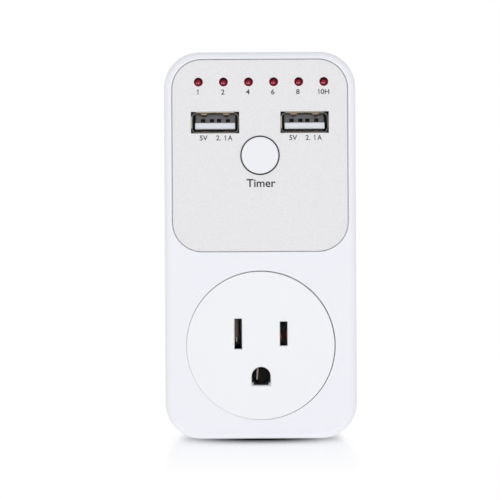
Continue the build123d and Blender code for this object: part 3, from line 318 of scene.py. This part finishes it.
def can_outline(half_width, half_height, radius, straight=14, arc=7):
    """Points round a rounded rectangle from one side of the seam at the top's middle to the
    other: straight runs cut into equal steps, and quarter circles swept in equal angles."""
    a, b = half_width - radius, half_height - radius
    half_seam = seam_gap / 2
    swing = np.linspace(0, np.pi / 2, arc)
    runs = [np.stack([np.linspace(half_seam, a, straight), np.full(straight, half_height)], 1)]
    for turn, (cx, cz) in enumerate([(a, b), (a, -b), (-a, -b), (-a, b)]):
        angle = np.pi / 2 - turn * np.pi / 2 - swing
        runs.append(np.stack([cx + radius * np.cos(angle), cz + radius * np.sin(angle)], 1)[1:])
        ends = [((half_width, b), (half_width, -b)), ((a, -half_height), (-a, -half_height)),
                ((-half_width, -b), (-half_width, b)),
                ((-a, half_height), (-half_seam, half_height))][turn]
        steps = 2 * straight if turn == 1 else straight
        runs.append(np.stack([np.linspace(ends[0][i], ends[1][i], steps) for i in (0, 1)], 1)[1:])
    return np.concatenate(runs)


def skin(name, grid, material, thickness, keep=None):
    """A mesh over a grid of points, rows by columns, given a wall by Solidify and kept as plain
    mesh with its edges sharp. Where keep is false, the cell between four points is left open."""
    rows, columns = grid.shape[:2]
    index = np.arange(rows * columns).reshape(rows, columns)
    quads = np.stack([index[:-1, :-1], index[:-1, 1:], index[1:, 1:], index[1:, :-1]], -1)
    quads = quads[keep] if keep is not None else quads.reshape(-1, 4)
    used, compact = np.unique(quads, return_inverse=True)
    mesh = bpy.data.meshes.new(name)
    mesh.from_pydata(grid.reshape(-1, 3)[used].tolist(), [], compact.reshape(-1, 4).tolist())
    mesh.materials.append(material)
    piece = bpy.data.objects.new(name, mesh)
    bpy.context.scene.collection.objects.link(piece)
    wall = piece.modifiers.new("wall", "SOLIDIFY")
    wall.thickness = thickness
    wall.offset = -1
    wall.use_even_offset = True
    bpy.context.view_layer.update()
    solid = bpy.data.meshes.new_from_object(piece.evaluated_get(bpy.context.evaluated_depsgraph_get()))
    piece.modifiers.clear()
    piece.data = solid
    solid.shade_smooth()
    solid.set_sharp_from_angle(angle=0.7)
    return piece


def reopened(material):
    """A finished material's tree and shader, the socket of its colour, and its Object coordinates
    parted into x, y and z, so that painted sheen or shade can go over it."""
    tree = material.node_tree
    surface = tree.nodes["Principled BSDF"]
    colour = surface.inputs["Base Color"].links[0].from_socket
    coordinates = tree.nodes["Texture Coordinate"].outputs["Object"]
    return tree, surface, colour, add(tree, "ShaderNodeSeparateXYZ", {"Vector": coordinates})


nickel = plated("nickel_plated_sheet", "#cbc5b2", "#b0aa98", lines=0.06, rough=(0.2, 0.34))
bronze = moulded("warm_plated_spring_sheet", "#ffe2bc", "#f0c898", grain=0.1, rough=(0.3, 0.45),
                 Metallic=0.2)
port_plastic = moulded("moulded_white_pbt_tongue", "#e6e9f0", "#dcdfe8", grain=0.2, rough=(0.4, 0.5))
gold = plated("worn_gold_flashed_contact", "#a07c58", "#7c5c40", lines=0.05, rough=(0.25, 0.4))
# The can's upper and left lips are drawn bright as painted sheen, and the upper springs pale and warm as a
# painted highlight. The lower and right lips, the sheet inside and the lower springs are drawn dull as
# painted
# shade. Both ports are drawn alike: a place across is folded back from the right port to the left one.
# Each pair is where the painted sheen starts and where it is full, from the can's top, from its left side
# and from its mouth.
sheen_fold_margin = 1.0 * MM
top_sheen = (-0.9 * MM, -0.1 * MM)
side_sheen = (0.35 * MM, 0.2 * MM)
mouth_sheen = (0.3 * MM, 0.1 * MM)
left_low, left_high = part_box("usb_left_shell")
right_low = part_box("usb_right_shell")[0]
for material, lips, shade_tone in ((nickel, True, "#74726a"), (bronze, False, "#86695c")):
    tree, surface, bright, place = reopened(material)
    upper = add(tree, "ShaderNodeMapRange", {"Value": place.outputs["Z"],
                                             "From Min": left_high.z + top_sheen[0],
                                             "From Max": left_high.z + top_sheen[1]})
    painted_sheen = upper.outputs["Result"]
    if lips:
        across = add(tree, "ShaderNodeMath", {0: place.outputs["X"], 1: left_low.x - sheen_fold_margin},
                     operation="SUBTRACT")
        across = add(tree, "ShaderNodeMath", {0: across.outputs[0], 1: right_low.x - left_low.x},
                     operation="MODULO")
        left = add(tree, "ShaderNodeMapRange", {"Value": across.outputs[0],
                                                "From Min": sheen_fold_margin + side_sheen[0],
                                                "From Max": sheen_fold_margin + side_sheen[1]})
        either = add(tree, "ShaderNodeMath", {0: painted_sheen, 1: left.outputs["Result"]}, operation="MAXIMUM")
        front = add(tree, "ShaderNodeMapRange", {"Value": place.outputs["Y"],
                                                 "From Min": left_low.y + mouth_sheen[0],
                                                 "From Max": left_low.y + mouth_sheen[1]})
        painted_sheen = add(tree, "ShaderNodeMath", {0: either.outputs[0], 1: front.outputs["Result"]},
                     operation="MULTIPLY").outputs[0]
    # the painted sheen's bright tone over the painted shade's dull tone
    sheen_over_shade = add(tree, "ShaderNodeMix", {"Factor": painted_sheen, "A": linear(shade_tone), "B": bright}, data_type="RGBA")
    tree.links.new(sheen_over_shade.outputs["Result"], surface.inputs["Base Color"])
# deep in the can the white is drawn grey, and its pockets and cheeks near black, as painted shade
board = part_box("control_board")[0].y
pocket = board - 3.4 * MM
tree, surface, white, place = reopened(port_plastic)
for begin, end, shade in ((-1.5, -0.1, "#bec0c4"), (0.05, 0.3, "#141312")):
    inside = add(tree, "ShaderNodeMapRange", {"Value": place.outputs["Y"],
                                              "From Min": pocket + begin * MM,
                                              "From Max": pocket + end * MM})
    depth_shade = add(tree, "ShaderNodeMix", {"Factor": inside.outputs["Result"], "A": white,
                                       "B": linear(shade)}, data_type="RGBA")
    white = depth_shade.outputs["Result"]
tree.links.new(white, surface.inputs["Base Color"])
for side in ("left", "right"):
    low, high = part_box(f"usb_{side}_shell")
    cx, cz = (low.x + high.x) / 2, (low.z + high.z) / 2
    half_width, half_height = (high.x - low.x) / 2, (high.z - low.z) / 2
    outline = can_outline(half_width, half_height, corner_radius)
    depth = np.concatenate([np.linspace(0, window_front, 9), np.linspace(window_front, window_back, 9)[1:],
                            [board - low.y]])
    # the mouth rolls out by a bell curve of its depth, and is straight after half a millimetre
    roll = mouth_roll * np.exp(-(depth / roll_reach) ** 2)
    step = np.gradient(outline, axis=0)
    out = np.stack([-step[:, 1], step[:, 0]], 1)
    out /= np.linalg.norm(out, axis=1, keepdims=True)
    flat = outline[None] + roll[:, None, None] * out[None]
    grid = np.stack([cx + flat[..., 0], np.broadcast_to(low.y + depth[:, None], flat.shape[:2]),
                     cz + flat[..., 1]], -1)
    # cells are left out for the fingers' windows in the top and bottom, and between the lips
    middle = (grid[:-1, :-1] + grid[1:, 1:]) / 2
    off_x, off_z = np.abs(middle[..., 0] - cx), np.abs(middle[..., 2] - cz)
    behind = middle[..., 1] - low.y
    window = (np.abs(off_x - finger_offset) < window_half_width) & (behind > window_front)
    window &= behind < window_back
    corner = (off_x > half_width - corner_radius) & (off_z > half_height - corner_radius)
    can = skin(f"usb_{side}_can", grid, nickel, sheet_thickness,
               ~(window | corner & (behind < lip_depth)))
    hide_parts(f"usb_{side}_shell")
    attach(can, "housing")
    # A finger runs forwards from its root, bowed into the can as the square of a sine that is back
    # at nought near its tip, which turns in again. It is dished: the bow falls off from its middle
    # to its edges as the square of the distance.
    reach = np.linspace(0, 1, 17)
    breadth = np.linspace(-1, 1, 9)
    bow = finger_bow * np.sin(np.pi * np.clip(reach / bow_span, 0, bow_end)) ** 2
    for up, level in ((-1, "bottom"), (1, "top")):
        for over, hand in ((-1, "left"), (1, "right")):
            finger = np.empty((len(reach), len(breadth), 3))
            finger[..., 0] = cx + over * finger_offset + breadth * finger_half_width
            finger[..., 1] = (low.y + finger_root - reach * finger_length)[:, None]
            finger[..., 2] = (cz + up * (half_height - sheet_thickness / 2)
                              - up * bow[:, None] * (1 - finger_dish * breadth ** 2))
            if up > 0:
                finger = finger[:, ::-1]
            spring = skin(f"usb_{side}_finger_{level}_{hand}", finger, bronze, finger_sheet)
            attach(spring, "housing")
    dress(port_plastic, f"usb_{side}_tongue")
    dress(gold, f"usb_{side}_contacts")

# ==== Timer button and tact switch ====
# A white ABS cap whose stem pushes a small snap switch: black base, tin-plated frame, steel dome.
# The other small black mouldings in the body share the base's finish.
gap_shade_start = 0.08 * MM
gap_shade_full = 0.3 * MM
cap_white = moulded("moulded_white_abs_cap", "#edeef1", "#eaebef", grain=0.3, rough=(0.34, 0.44),
                    IOR=1.53)
dress(cap_white, "timer_button")
# the cap's side, down in its gap, is drawn dark as painted shade
tree, surface, cap_tone, place = reopened(cap_white)
cap_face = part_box("timer_button")[0].y
down = add(tree, "ShaderNodeMapRange", {"Value": place.outputs["Y"], "From Min": cap_face + gap_shade_start,
                                        "From Max": cap_face + gap_shade_full})
gap_shade = add(tree, "ShaderNodeMix", {"Factor": down.outputs["Result"], "A": cap_tone,
                                   "B": linear("#26262a")}, data_type="RGBA")
tree.links.new(gap_shade.outputs["Result"], surface.inputs["Base Color"])
dress(moulded("moulded_black_nylon_base", "#1b1b1d", "#232325", rough=(0.45, 0.58)), "tact_base",
      "tact_plunger", "header_strip", "control_chips", "power_chips", "relay_base", "transformer_bobbin")
dress(plated("tinned_switch_frame", "#bfc0c2", "#abacaf"), "tact_cover")
dress(plated("stainless_snap_dome", "#c3c3c1", "#adadaa", lines=0.04, rough=(0.15, 0.25)), "tact_dome")

# ==== Outlet face ====
# A round white polycarbonate insert with the socket's openings, flush with the body's front. It
# comes from a smoother tool than the shells, so it has a finer grain and more gloss.
dress(moulded("moulded_white_polycarbonate_insert", "#f0f1f3", "#edeef1", grain=0.3, rough=(0.3, 0.4),
              IOR=1.58), "outlet_face")
# A moulded ledge, drawn grey as painted shade, lies along the ground hole's flat edge and rises at its
# ends,
# clear of a round pin: its height goes up in one step, a thirtieth of its half width wide.
hole_drop = 2.62 * MM
hole_lead_in = 0.25 * MM
ledge_half_width = 2.64 * MM
ledge_height = 0.22 * MM
ledge_end_rise = 0.7 * MM
ledge_end_start = 0.77
ledge_steepness = 30
ledge_thickness = 0.8 * MM
pin_low, pin_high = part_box("ground_pin")
hole_flat = (pin_low.z + pin_high.z) / 2 - hole_drop
ledge_across = np.linspace(-1, 1, 67)
ledge_end = np.clip((np.abs(ledge_across) - ledge_end_start) * ledge_steepness, 0, 1)
ledge_grid = np.empty((2, len(ledge_across), 3))
ledge_grid[..., 0] = ledge_across * ledge_half_width
ledge_grid[..., 1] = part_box("outlet_face")[0].y + hole_lead_in
ledge_grid[0, :, 2] = hole_flat
ledge_grid[1, :, 2] = hole_flat + ledge_height + ledge_end_rise * ledge_end
ledge_shade_grey = moulded("dusty_polycarbonate_ledge", "#b1b0b7", "#a7a6ad", grain=0.3, rough=(0.4, 0.5),
                     IOR=1.58)
ledge = skin("ground_hole_ledge", ledge_grid, ledge_shade_grey, ledge_thickness)
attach(ledge, "housing")

# ==== Contact stack ====
# A dark heat-proof carrier and cover hold the folded brass springs behind the face. Strips of
# sheet at the springs' front edges are the lips and folds that show through the openings; their
# pale tan and bright copper-orange colours are painted highlights.
carrier_black = moulded("moulded_dark_phenolic", "#17171a", "#1f1f22", grain=0.4, rough=(0.55, 0.7))
dress(carrier_black, "contact_carrier", "contact_cover")
stamped_brass = plated("stamped_brass_strip", "#7d6a4c", "#5c4d38", lines=0.1, stretch=(1.0, 1.0, 12.0),
                       rough=(0.3, 0.5))
dress(stamped_brass, "relay_fixed_contact", "relay_leaf")
film_width = 0.8 * MM
spring_shade_start = 0.2 * MM
spring_shade_full = 1.5 * MM
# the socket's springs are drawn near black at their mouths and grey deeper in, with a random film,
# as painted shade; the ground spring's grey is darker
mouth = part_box("ground_contact")[0].y
for spring, tone in (("line_contact", "#a29c9c"), ("neutral_contact", "#a29c9c"),
                     ("ground_contact", "#504d4d")):
    shaded_spring_metal, tree, surface, place = start(f"arc_blackened_{spring}", Roughness=0.5)
    film = add(tree, "ShaderNodeTexNoise", {"Vector": place, "Scale": 1 / film_width, "Detail": 2.0})
    within = add(tree, "ShaderNodeSeparateXYZ", {"Vector": place})
    deep = add(tree, "ShaderNodeMapRange", {"Value": within.outputs["Y"],
                                            "From Min": mouth + spring_shade_start,
                                            "From Max": mouth + spring_shade_full})
    blend = add(tree, "ShaderNodeMath", {0: film.outputs["Fac"], 1: deep.outputs["Result"]},
                operation="MULTIPLY")
    spring_shade_tone = add(tree, "ShaderNodeMix", {"Factor": blend.outputs[0], "A": linear("#161515"),
                                        "B": linear(tone)}, data_type="RGBA")
    tree.links.new(spring_shade_tone.outputs["Result"], surface.inputs["Base Color"])
    dress(shaded_spring_metal, spring)


spring_sheet = 0.3 * MM
strip_curl = 0.35 * MM


def strip(name, left, right, heights, depth, material):
    """An upright strip of spring sheet behind an opening, facing the front: its left and right
    edges and the heights of its rows in millimetres, at this depth. It curls back towards its
    right edge, by the square of the share of its width."""
    columns = np.linspace(0, 1, 5)
    grid = np.empty((len(heights), len(columns), 3))
    left, right = np.broadcast_to(left, len(heights)), np.broadcast_to(right, len(heights))
    grid[..., 0] = (left[:, None] + (right - left)[:, None] * columns) * MM
    grid[..., 1] = depth + strip_curl * columns ** 2
    grid[..., 2] = np.array(heights)[:, None] * MM
    piece = skin(name, grid, material, spring_sheet)
    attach(piece, "housing")


# the springs' faces behind the openings are drawn grey-brown
lip_grey = moulded("grey_brown_spring_sheet", "#8c7c70", "#786a5f", grain=0.2, rough=(0.45, 0.6),
                   Metallic=0.3)
# bright copper-orange and pale tan strips: painted highlights, standing in for glints in the openings
glint_copper = moulded("glint_copper_spring_sheet", "#f2864a", "#d46a34", grain=0.2, rough=(0.4, 0.5))
glint_tan = moulded("glint_tan_spring_edge", "#eadccc", "#dccab6", grain=0.2, rough=(0.4, 0.5))
slot_pitch = 12.7
slot_x = slot_pitch / 2
spring_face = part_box("neutral_contact")[0].y + 0.05 * MM
strip("neutral_contact_lip", -slot_x - 1.2, -slot_x, (28.2, 30.0, 32.0, 34.0), spring_face, lip_grey)
strip("neutral_contact_tip", (-slot_x - 0.63, -slot_x - 0.77), (-slot_x - 0.34, -slot_x - 0.27),
      (26.9, 28.2), spring_face, glint_tan)
strip("neutral_contact_side", -slot_x + 0.72, -slot_x + 1.0, (30.2, 32.0, 34.0),
      spring_face + 0.4 * MM, lip_grey)
strip("line_contact_lip_left", slot_x - 1.2, (slot_x - 0.45, slot_x - 0.75, slot_x - 1.0),
      (27.9, 29.3, 31.0), spring_face, glint_copper)
strip("line_contact_lip_right", (slot_x + 0.8, slot_x + 0.9, slot_x + 1.0), slot_x + 1.2,
      (27.9, 28.8, 30.0), spring_face, glint_copper)
strip("ground_contact_glint_strip", (-1.3, -1.12), (-0.9, -0.72), (16.3, 19.6), mouth + 0.1 * MM, glint_tan)

# ==== Plug ====
# Two flat blades with a hole near the tip, and a round pin. They are drawn brass, tumbled bright,
# and anchored in the back.
plug_brass = plated("tumbled_drawn_brass", "#cfb078", "#b8975e", lines=0.12, rough=(0.24, 0.4),
                    depth=0.003)
dress(plug_brass, "line_blade", "neutral_blade", "ground_pin")

# ==== Boards ====
# Glass-fibre laminate under green solder mask. The weave prints through faintly at 0.5 mm pitch.
# A wave's crests lie a twentieth of a turn, 2 pi / 20, apart at scale 1.
wave_step = 2 * np.pi / 20
weave_pitch = 0.5 * MM
weave_depth = 0.01 * MM
mask_green, tree, surface, place = start("solder_mask_on_glass_fibre", IOR=1.5)
warp = add(tree, "ShaderNodeTexWave", {"Vector": place, "Scale": wave_step / weave_pitch},
           wave_type="BANDS", bands_direction="X")
weft = add(tree, "ShaderNodeTexWave", {"Vector": place, "Scale": wave_step / weave_pitch},
           wave_type="BANDS", bands_direction="Z")
weave = add(tree, "ShaderNodeMath", {0: warp.outputs["Fac"], 1: weft.outputs["Fac"]},
            operation="MULTIPLY")
green = add(tree, "ShaderNodeMix", {"Factor": weave.outputs[0], "A": linear("#1d5c38"),
                                    "B": linear("#256b43")}, data_type="RGBA")
weave_relief = add(tree, "ShaderNodeBump", {"Height": weave.outputs[0], "Distance": weave_depth})
mask_gloss = add(tree, "ShaderNodeMapRange", {"Value": weave.outputs[0], "To Min": 0.3, "To Max": 0.42})
surfaced(tree, surface, green, mask_gloss, weave_relief)
dress(mask_green, "control_board", "power_board")
dress(moulded("fired_chip_resistor", "#2a2a2c", "#343436", grain=0.1, rough=(0.4, 0.55), patch=0.8),
      "lamp_resistors")

# ==== Relay ====
# Blue polycarbonate cover over a copper coil, an iron yoke and a hinged iron armature, seated on
# the power board by its black base.
dress(moulded("moulded_blue_polycarbonate_cover", "#1c4590", "#183d83", rough=(0.25, 0.35)),
      "relay_cover")
dress(moulded("moulded_white_nylon_bobbin", "#dcdad2", "#d2d0c6", rough=(0.45, 0.6)), "relay_bobbin")
dress(plated("nickel_flashed_soft_iron", "#9b9b99", "#858583", lines=0.15, rough=(0.35, 0.5)),
      "relay_yoke", "relay_armature")


def wound(name, colour, shade, turn, axis, **shader):
    """Wire or tape wound in touching turns of this width in millimetres along one axis: a sine
    wave with one crest a turn, for the relief and for the shade between the turns."""
    material, tree, surface, place = start(name, **shader)
    turns = add(tree, "ShaderNodeTexWave", {"Vector": place, "Scale": wave_step / (turn * MM),
                                            "Distortion": 0.3, "Detail": 1.0},
                wave_type="BANDS", bands_direction=axis)
    tone = add(tree, "ShaderNodeMix", {"Factor": turns.outputs["Fac"], "A": linear(shade),
                                       "B": linear(colour)}, data_type="RGBA")
    relief = add(tree, "ShaderNodeBump", {"Height": turns.outputs["Fac"], "Distance": 0.25 * turn * MM})
    gloss = add(tree, "ShaderNodeMapRange", {"Value": turns.outputs["Fac"], "To Min": 0.5,
                                             "To Max": 0.3})
    surfaced(tree, surface, tone, gloss, relief)
    return material


# the coil's real wire is 0.06 mm, too fine to show, so its turns are drawn 0.25 mm wide
dress(wound("enamelled_copper_wire", "#b8683f", "#6e3418", 0.25, "Y", Metallic=0.7), "relay_coil")

# ==== Transformer ====
# A sintered ferrite core on its black bobbin, wound by machine and closed with yellow polyester
# tape, so that only the tape's turns show.
dress(moulded("sintered_ferrite", "#26262a", "#323237", grain=0.5, depth=0.01, rough=(0.6, 0.75),
              patch=3.0), "transformer_core")
dress(wound("yellow_polyester_tape", "#e0c142", "#c9a933", 2.5, "Y"), "transformer_winding")

# ==== Capacitors, varistor and fuse ====
# Aluminium cans in shrink sleeve, a disc varistor dipped in epoxy and a glazed ceramic fuse body,
# all on the power board.
dress(moulded("dark_shrink_sleeve", "#1b2133", "#232a3f", grain=0.8, rough=(0.28, 0.4)),
      "bulk_capacitor", "output_capacitors")
dress(moulded("dipped_blue_epoxy", "#23489a", "#1c3f8a", grain=0.6, depth=0.02, rough=(0.4, 0.55),
              patch=3.0), "varistor")
dress(moulded("glazed_fuse_ceramic", "#d8d4c6", "#cbc6b5", grain=0.5, rough=(0.2, 0.3)), "fuse")

# ==== Wires ====
# Stranded copper in PVC: black line, white neutral and red switched line, matt from handling. They
# run inside the body, each bent to shape between a spring or blade and the power board.
dress(moulded("white_pvc_insulation", "#e3e3e1", "#d9d9d6", grain=0.5, rough=(0.45, 0.6), patch=4.0),
      "neutral_wire")
dress(moulded("black_pvc_insulation", "#18181a", "#222224", grain=0.5, rough=(0.45, 0.6), patch=4.0),
      "line_wire")
dress(moulded("red_pvc_insulation", "#b01f22", "#9c1a1e", grain=0.5, rough=(0.45, 0.6), patch=4.0),
      "switched_wire")

# ==== Studio floor ====
# A broad sheet of opal acrylic, faintly lit from below. The camera and the part's gloss see it as
# plain white with the part's shadow: dark where the part stands, and faint for some way around it.
floor_half = 2.0
shade_reach = 34 * MM
shade_half_width = 23.5 * MM
shade_back = 14 * MM
mirror_near = 17 * MM
mirror_far = 140 * MM
floor_mesh = bpy.data.meshes.new("studio_floor")
floor_mesh.from_pydata([(-floor_half, -floor_half, 0), (floor_half, -floor_half, 0),
                        (floor_half, floor_half, 0), (-floor_half, floor_half, 0)], [], [(0, 1, 2, 3)])
floor = bpy.data.objects.new("studio_floor", floor_mesh)
bpy.context.scene.collection.objects.link(floor)
acrylic = bpy.data.materials.new("opal_acrylic_sheet")
acrylic.use_nodes = True
tree = acrylic.node_tree
tree.nodes.clear()
ray = add(tree, "ShaderNodeLightPath")
seen = add(tree, "ShaderNodeMath", {0: ray.outputs["Is Camera Ray"], 1: ray.outputs["Is Glossy Ray"]},
           operation="ADD", use_clamp=True)
place = add(tree, "ShaderNodeTexCoord").outputs["Object"]
# Close under the part the shade is deep. It thins out towards the part's corners, by the distance
# across to the power 2.5, and to half from the part's front to its back.
cover = add(tree, "ShaderNodeAmbientOcclusion", {"Distance": shade_reach}, samples=16)
depth = add(tree, "ShaderNodeMapRange", {"Value": cover.outputs["AO"], "From Min": 0.56, "From Max": 1.0,
                                         "To Min": 1.0, "To Max": 0.0}, interpolation_type="SMOOTHSTEP")
across = add(tree, "ShaderNodeSeparateXYZ", {"Vector": place})
offset = add(tree, "ShaderNodeMath", {0: across.outputs["X"], 1: shade_half_width}, operation="DIVIDE")
offset = add(tree, "ShaderNodeMath", {0: offset.outputs[0]}, operation="ABSOLUTE")
offset = add(tree, "ShaderNodeMath", {0: offset.outputs[0], 1: 2.5}, operation="POWER")
spread = add(tree, "ShaderNodeMath", {0: 1.0, 1: offset.outputs[0]}, operation="SUBTRACT",
             use_clamp=True)
behind = add(tree, "ShaderNodeMapRange", {"Value": across.outputs["Y"], "From Min": -shade_back,
                                          "From Max": shade_back, "To Min": 1.0, "To Max": 0.5})
shade = add(tree, "ShaderNodeMath", {0: depth.outputs[0], 1: spread.outputs[0]}, operation="MULTIPLY")
shade = add(tree, "ShaderNodeMath", {0: shade.outputs[0], 1: behind.outputs[0]}, operation="MULTIPLY")
bright = add(tree, "ShaderNodeMath", {0: 1.0, 1: shade.outputs[0]}, operation="SUBTRACT")
# the sheet's gloss mirrors the part beside its foot and fades out 140 mm from its middle
far = add(tree, "ShaderNodeVectorMath", {0: place}, operation="LENGTH")
mirror = add(tree, "ShaderNodeMapRange", {"Value": far.outputs["Value"], "From Min": mirror_near,
                                          "From Max": mirror_far, "To Min": 0.85, "To Max": 0.0})
plain = add(tree, "ShaderNodeEmission", {"Strength": bright.outputs[0]})
gloss = add(tree, "ShaderNodeBsdfGlossy", {"Color": (1, 1, 1, 1), "Roughness": 0.14})
dimmed = add(tree, "ShaderNodeMixShader", {0: shade.outputs[0], 1: gloss.outputs[0]})
sheet = add(tree, "ShaderNodeMixShader", {0: mirror.outputs[0], 1: plain.outputs[0],
                                          2: dimmed.outputs[0]})
matt = add(tree, "ShaderNodeBsdfDiffuse", {"Color": (0.95, 0.95, 0.95, 1)})
glow = add(tree, "ShaderNodeEmission", {"Strength": 1.2})
matt = add(tree, "ShaderNodeMixShader", {0: 0.6, 1: matt.outputs[0], 2: glow.outputs[0]})
both = add(tree, "ShaderNodeMixShader", {0: seen.outputs[0], 1: matt.outputs[0], 2: sheet.outputs[0]})
add(tree, "ShaderNodeOutputMaterial", {"Surface": both.outputs[0]})
floor_mesh.materials.append(acrylic)

# ==== Studio light ====
# An even, slightly cool surround that reads as white where it is seen, a wide soft box in front
# of and above the part, another behind it, a low one, and one overhead, whose light off the floor
# lifts the part's lower edge.
world = bpy.data.worlds.new("white_surround")
bpy.context.scene.world = world
world.use_nodes = True
tree = world.node_tree
tree.nodes.clear()
ray = add(tree, "ShaderNodeLightPath")
direct = add(tree, "ShaderNodeMath", {0: ray.outputs["Is Camera Ray"], 1: ray.outputs["Is Glossy Ray"]},
             operation="ADD", use_clamp=True)
clear = add(tree, "ShaderNodeMath", {0: direct.outputs[0], 1: ray.outputs["Is Transmission Ray"]},
            operation="ADD", use_clamp=True)
surround = add(tree, "ShaderNodeMix", {"Factor": clear.outputs[0], "A": (0.565, 0.57, 0.58, 1),
                                       "B": (1, 1, 1, 1)}, data_type="RGBA")
glow = add(tree, "ShaderNodeBackground", {"Color": surround.outputs["Result"], "Strength": 1.0})
add(tree, "ShaderNodeOutputWorld", {"Surface": glow.outputs[0]})


def soft_box(name, place, aim, size, power):
    """A square area lamp of this size at a place, in metres, turned to face the point aim, with
    its power in watts. It doesn't show in the part's shine."""
    lamp = bpy.data.lights.new(name, "AREA")
    lamp.size = size
    lamp.energy = power
    holder = bpy.data.objects.new(name, lamp)
    bpy.context.scene.collection.objects.link(holder)
    holder.location = place
    holder.visible_glossy = False
    holder.rotation_mode = "QUATERNION"
    holder.rotation_quaternion = (Vector(aim) - Vector(place)).to_track_quat("-Z", "Y")


soft_box("front_soft_box", (-0.05, -1.4, 0.45), (0, 0, 0.06), 0.8, 1.85)
soft_box("low_soft_box", (0, -0.7, 0.03), (0, 0, 0.02), 0.2, 0.95)
soft_box("top_soft_box", (0, -0.3, 0.8), (0, -0.15, 0), 0.4, 0.5)
soft_box("back_soft_box", (0.05, 1.4, 0.5), (0, 0, 0.06), 0.8, 2.2)

# ==== Camera ====
# A long lens 0.77 m in front, rolled by 0.3 degrees. It looks straight ahead from a little left of
# the part's middle and below it, so the part stands these numbers of pixels right of the picture's
# middle and above it.
pixels_per_mm = 3.585
picture_px = 500
part_right_px = 10.5
part_up_px = 4.7
lens = 200.0
sensor = 36.0
roll_degrees = 0.3
near_clip = 0.01
distance = lens / sensor * picture_px / pixels_per_mm * MM
front_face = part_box("front_housing")[0].y
part_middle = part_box("front_housing")[1].z / 2
camera_data = bpy.data.cameras.new("camera")
camera_data.lens = lens
camera_data.sensor_width = sensor
camera_data.clip_start = near_clip
camera = bpy.data.objects.new("camera", camera_data)
bpy.context.scene.collection.objects.link(camera)
camera.location = (-part_right_px / pixels_per_mm * MM, front_face - distance,
                   part_middle - part_up_px / pixels_per_mm * MM)
camera.rotation_mode = "XYZ"
camera.rotation_euler = (np.radians(90), np.radians(roll_degrees), 0)
bpy.context.scene.camera = camera
bpy.context.scene.view_settings.view_transform = "Standard"
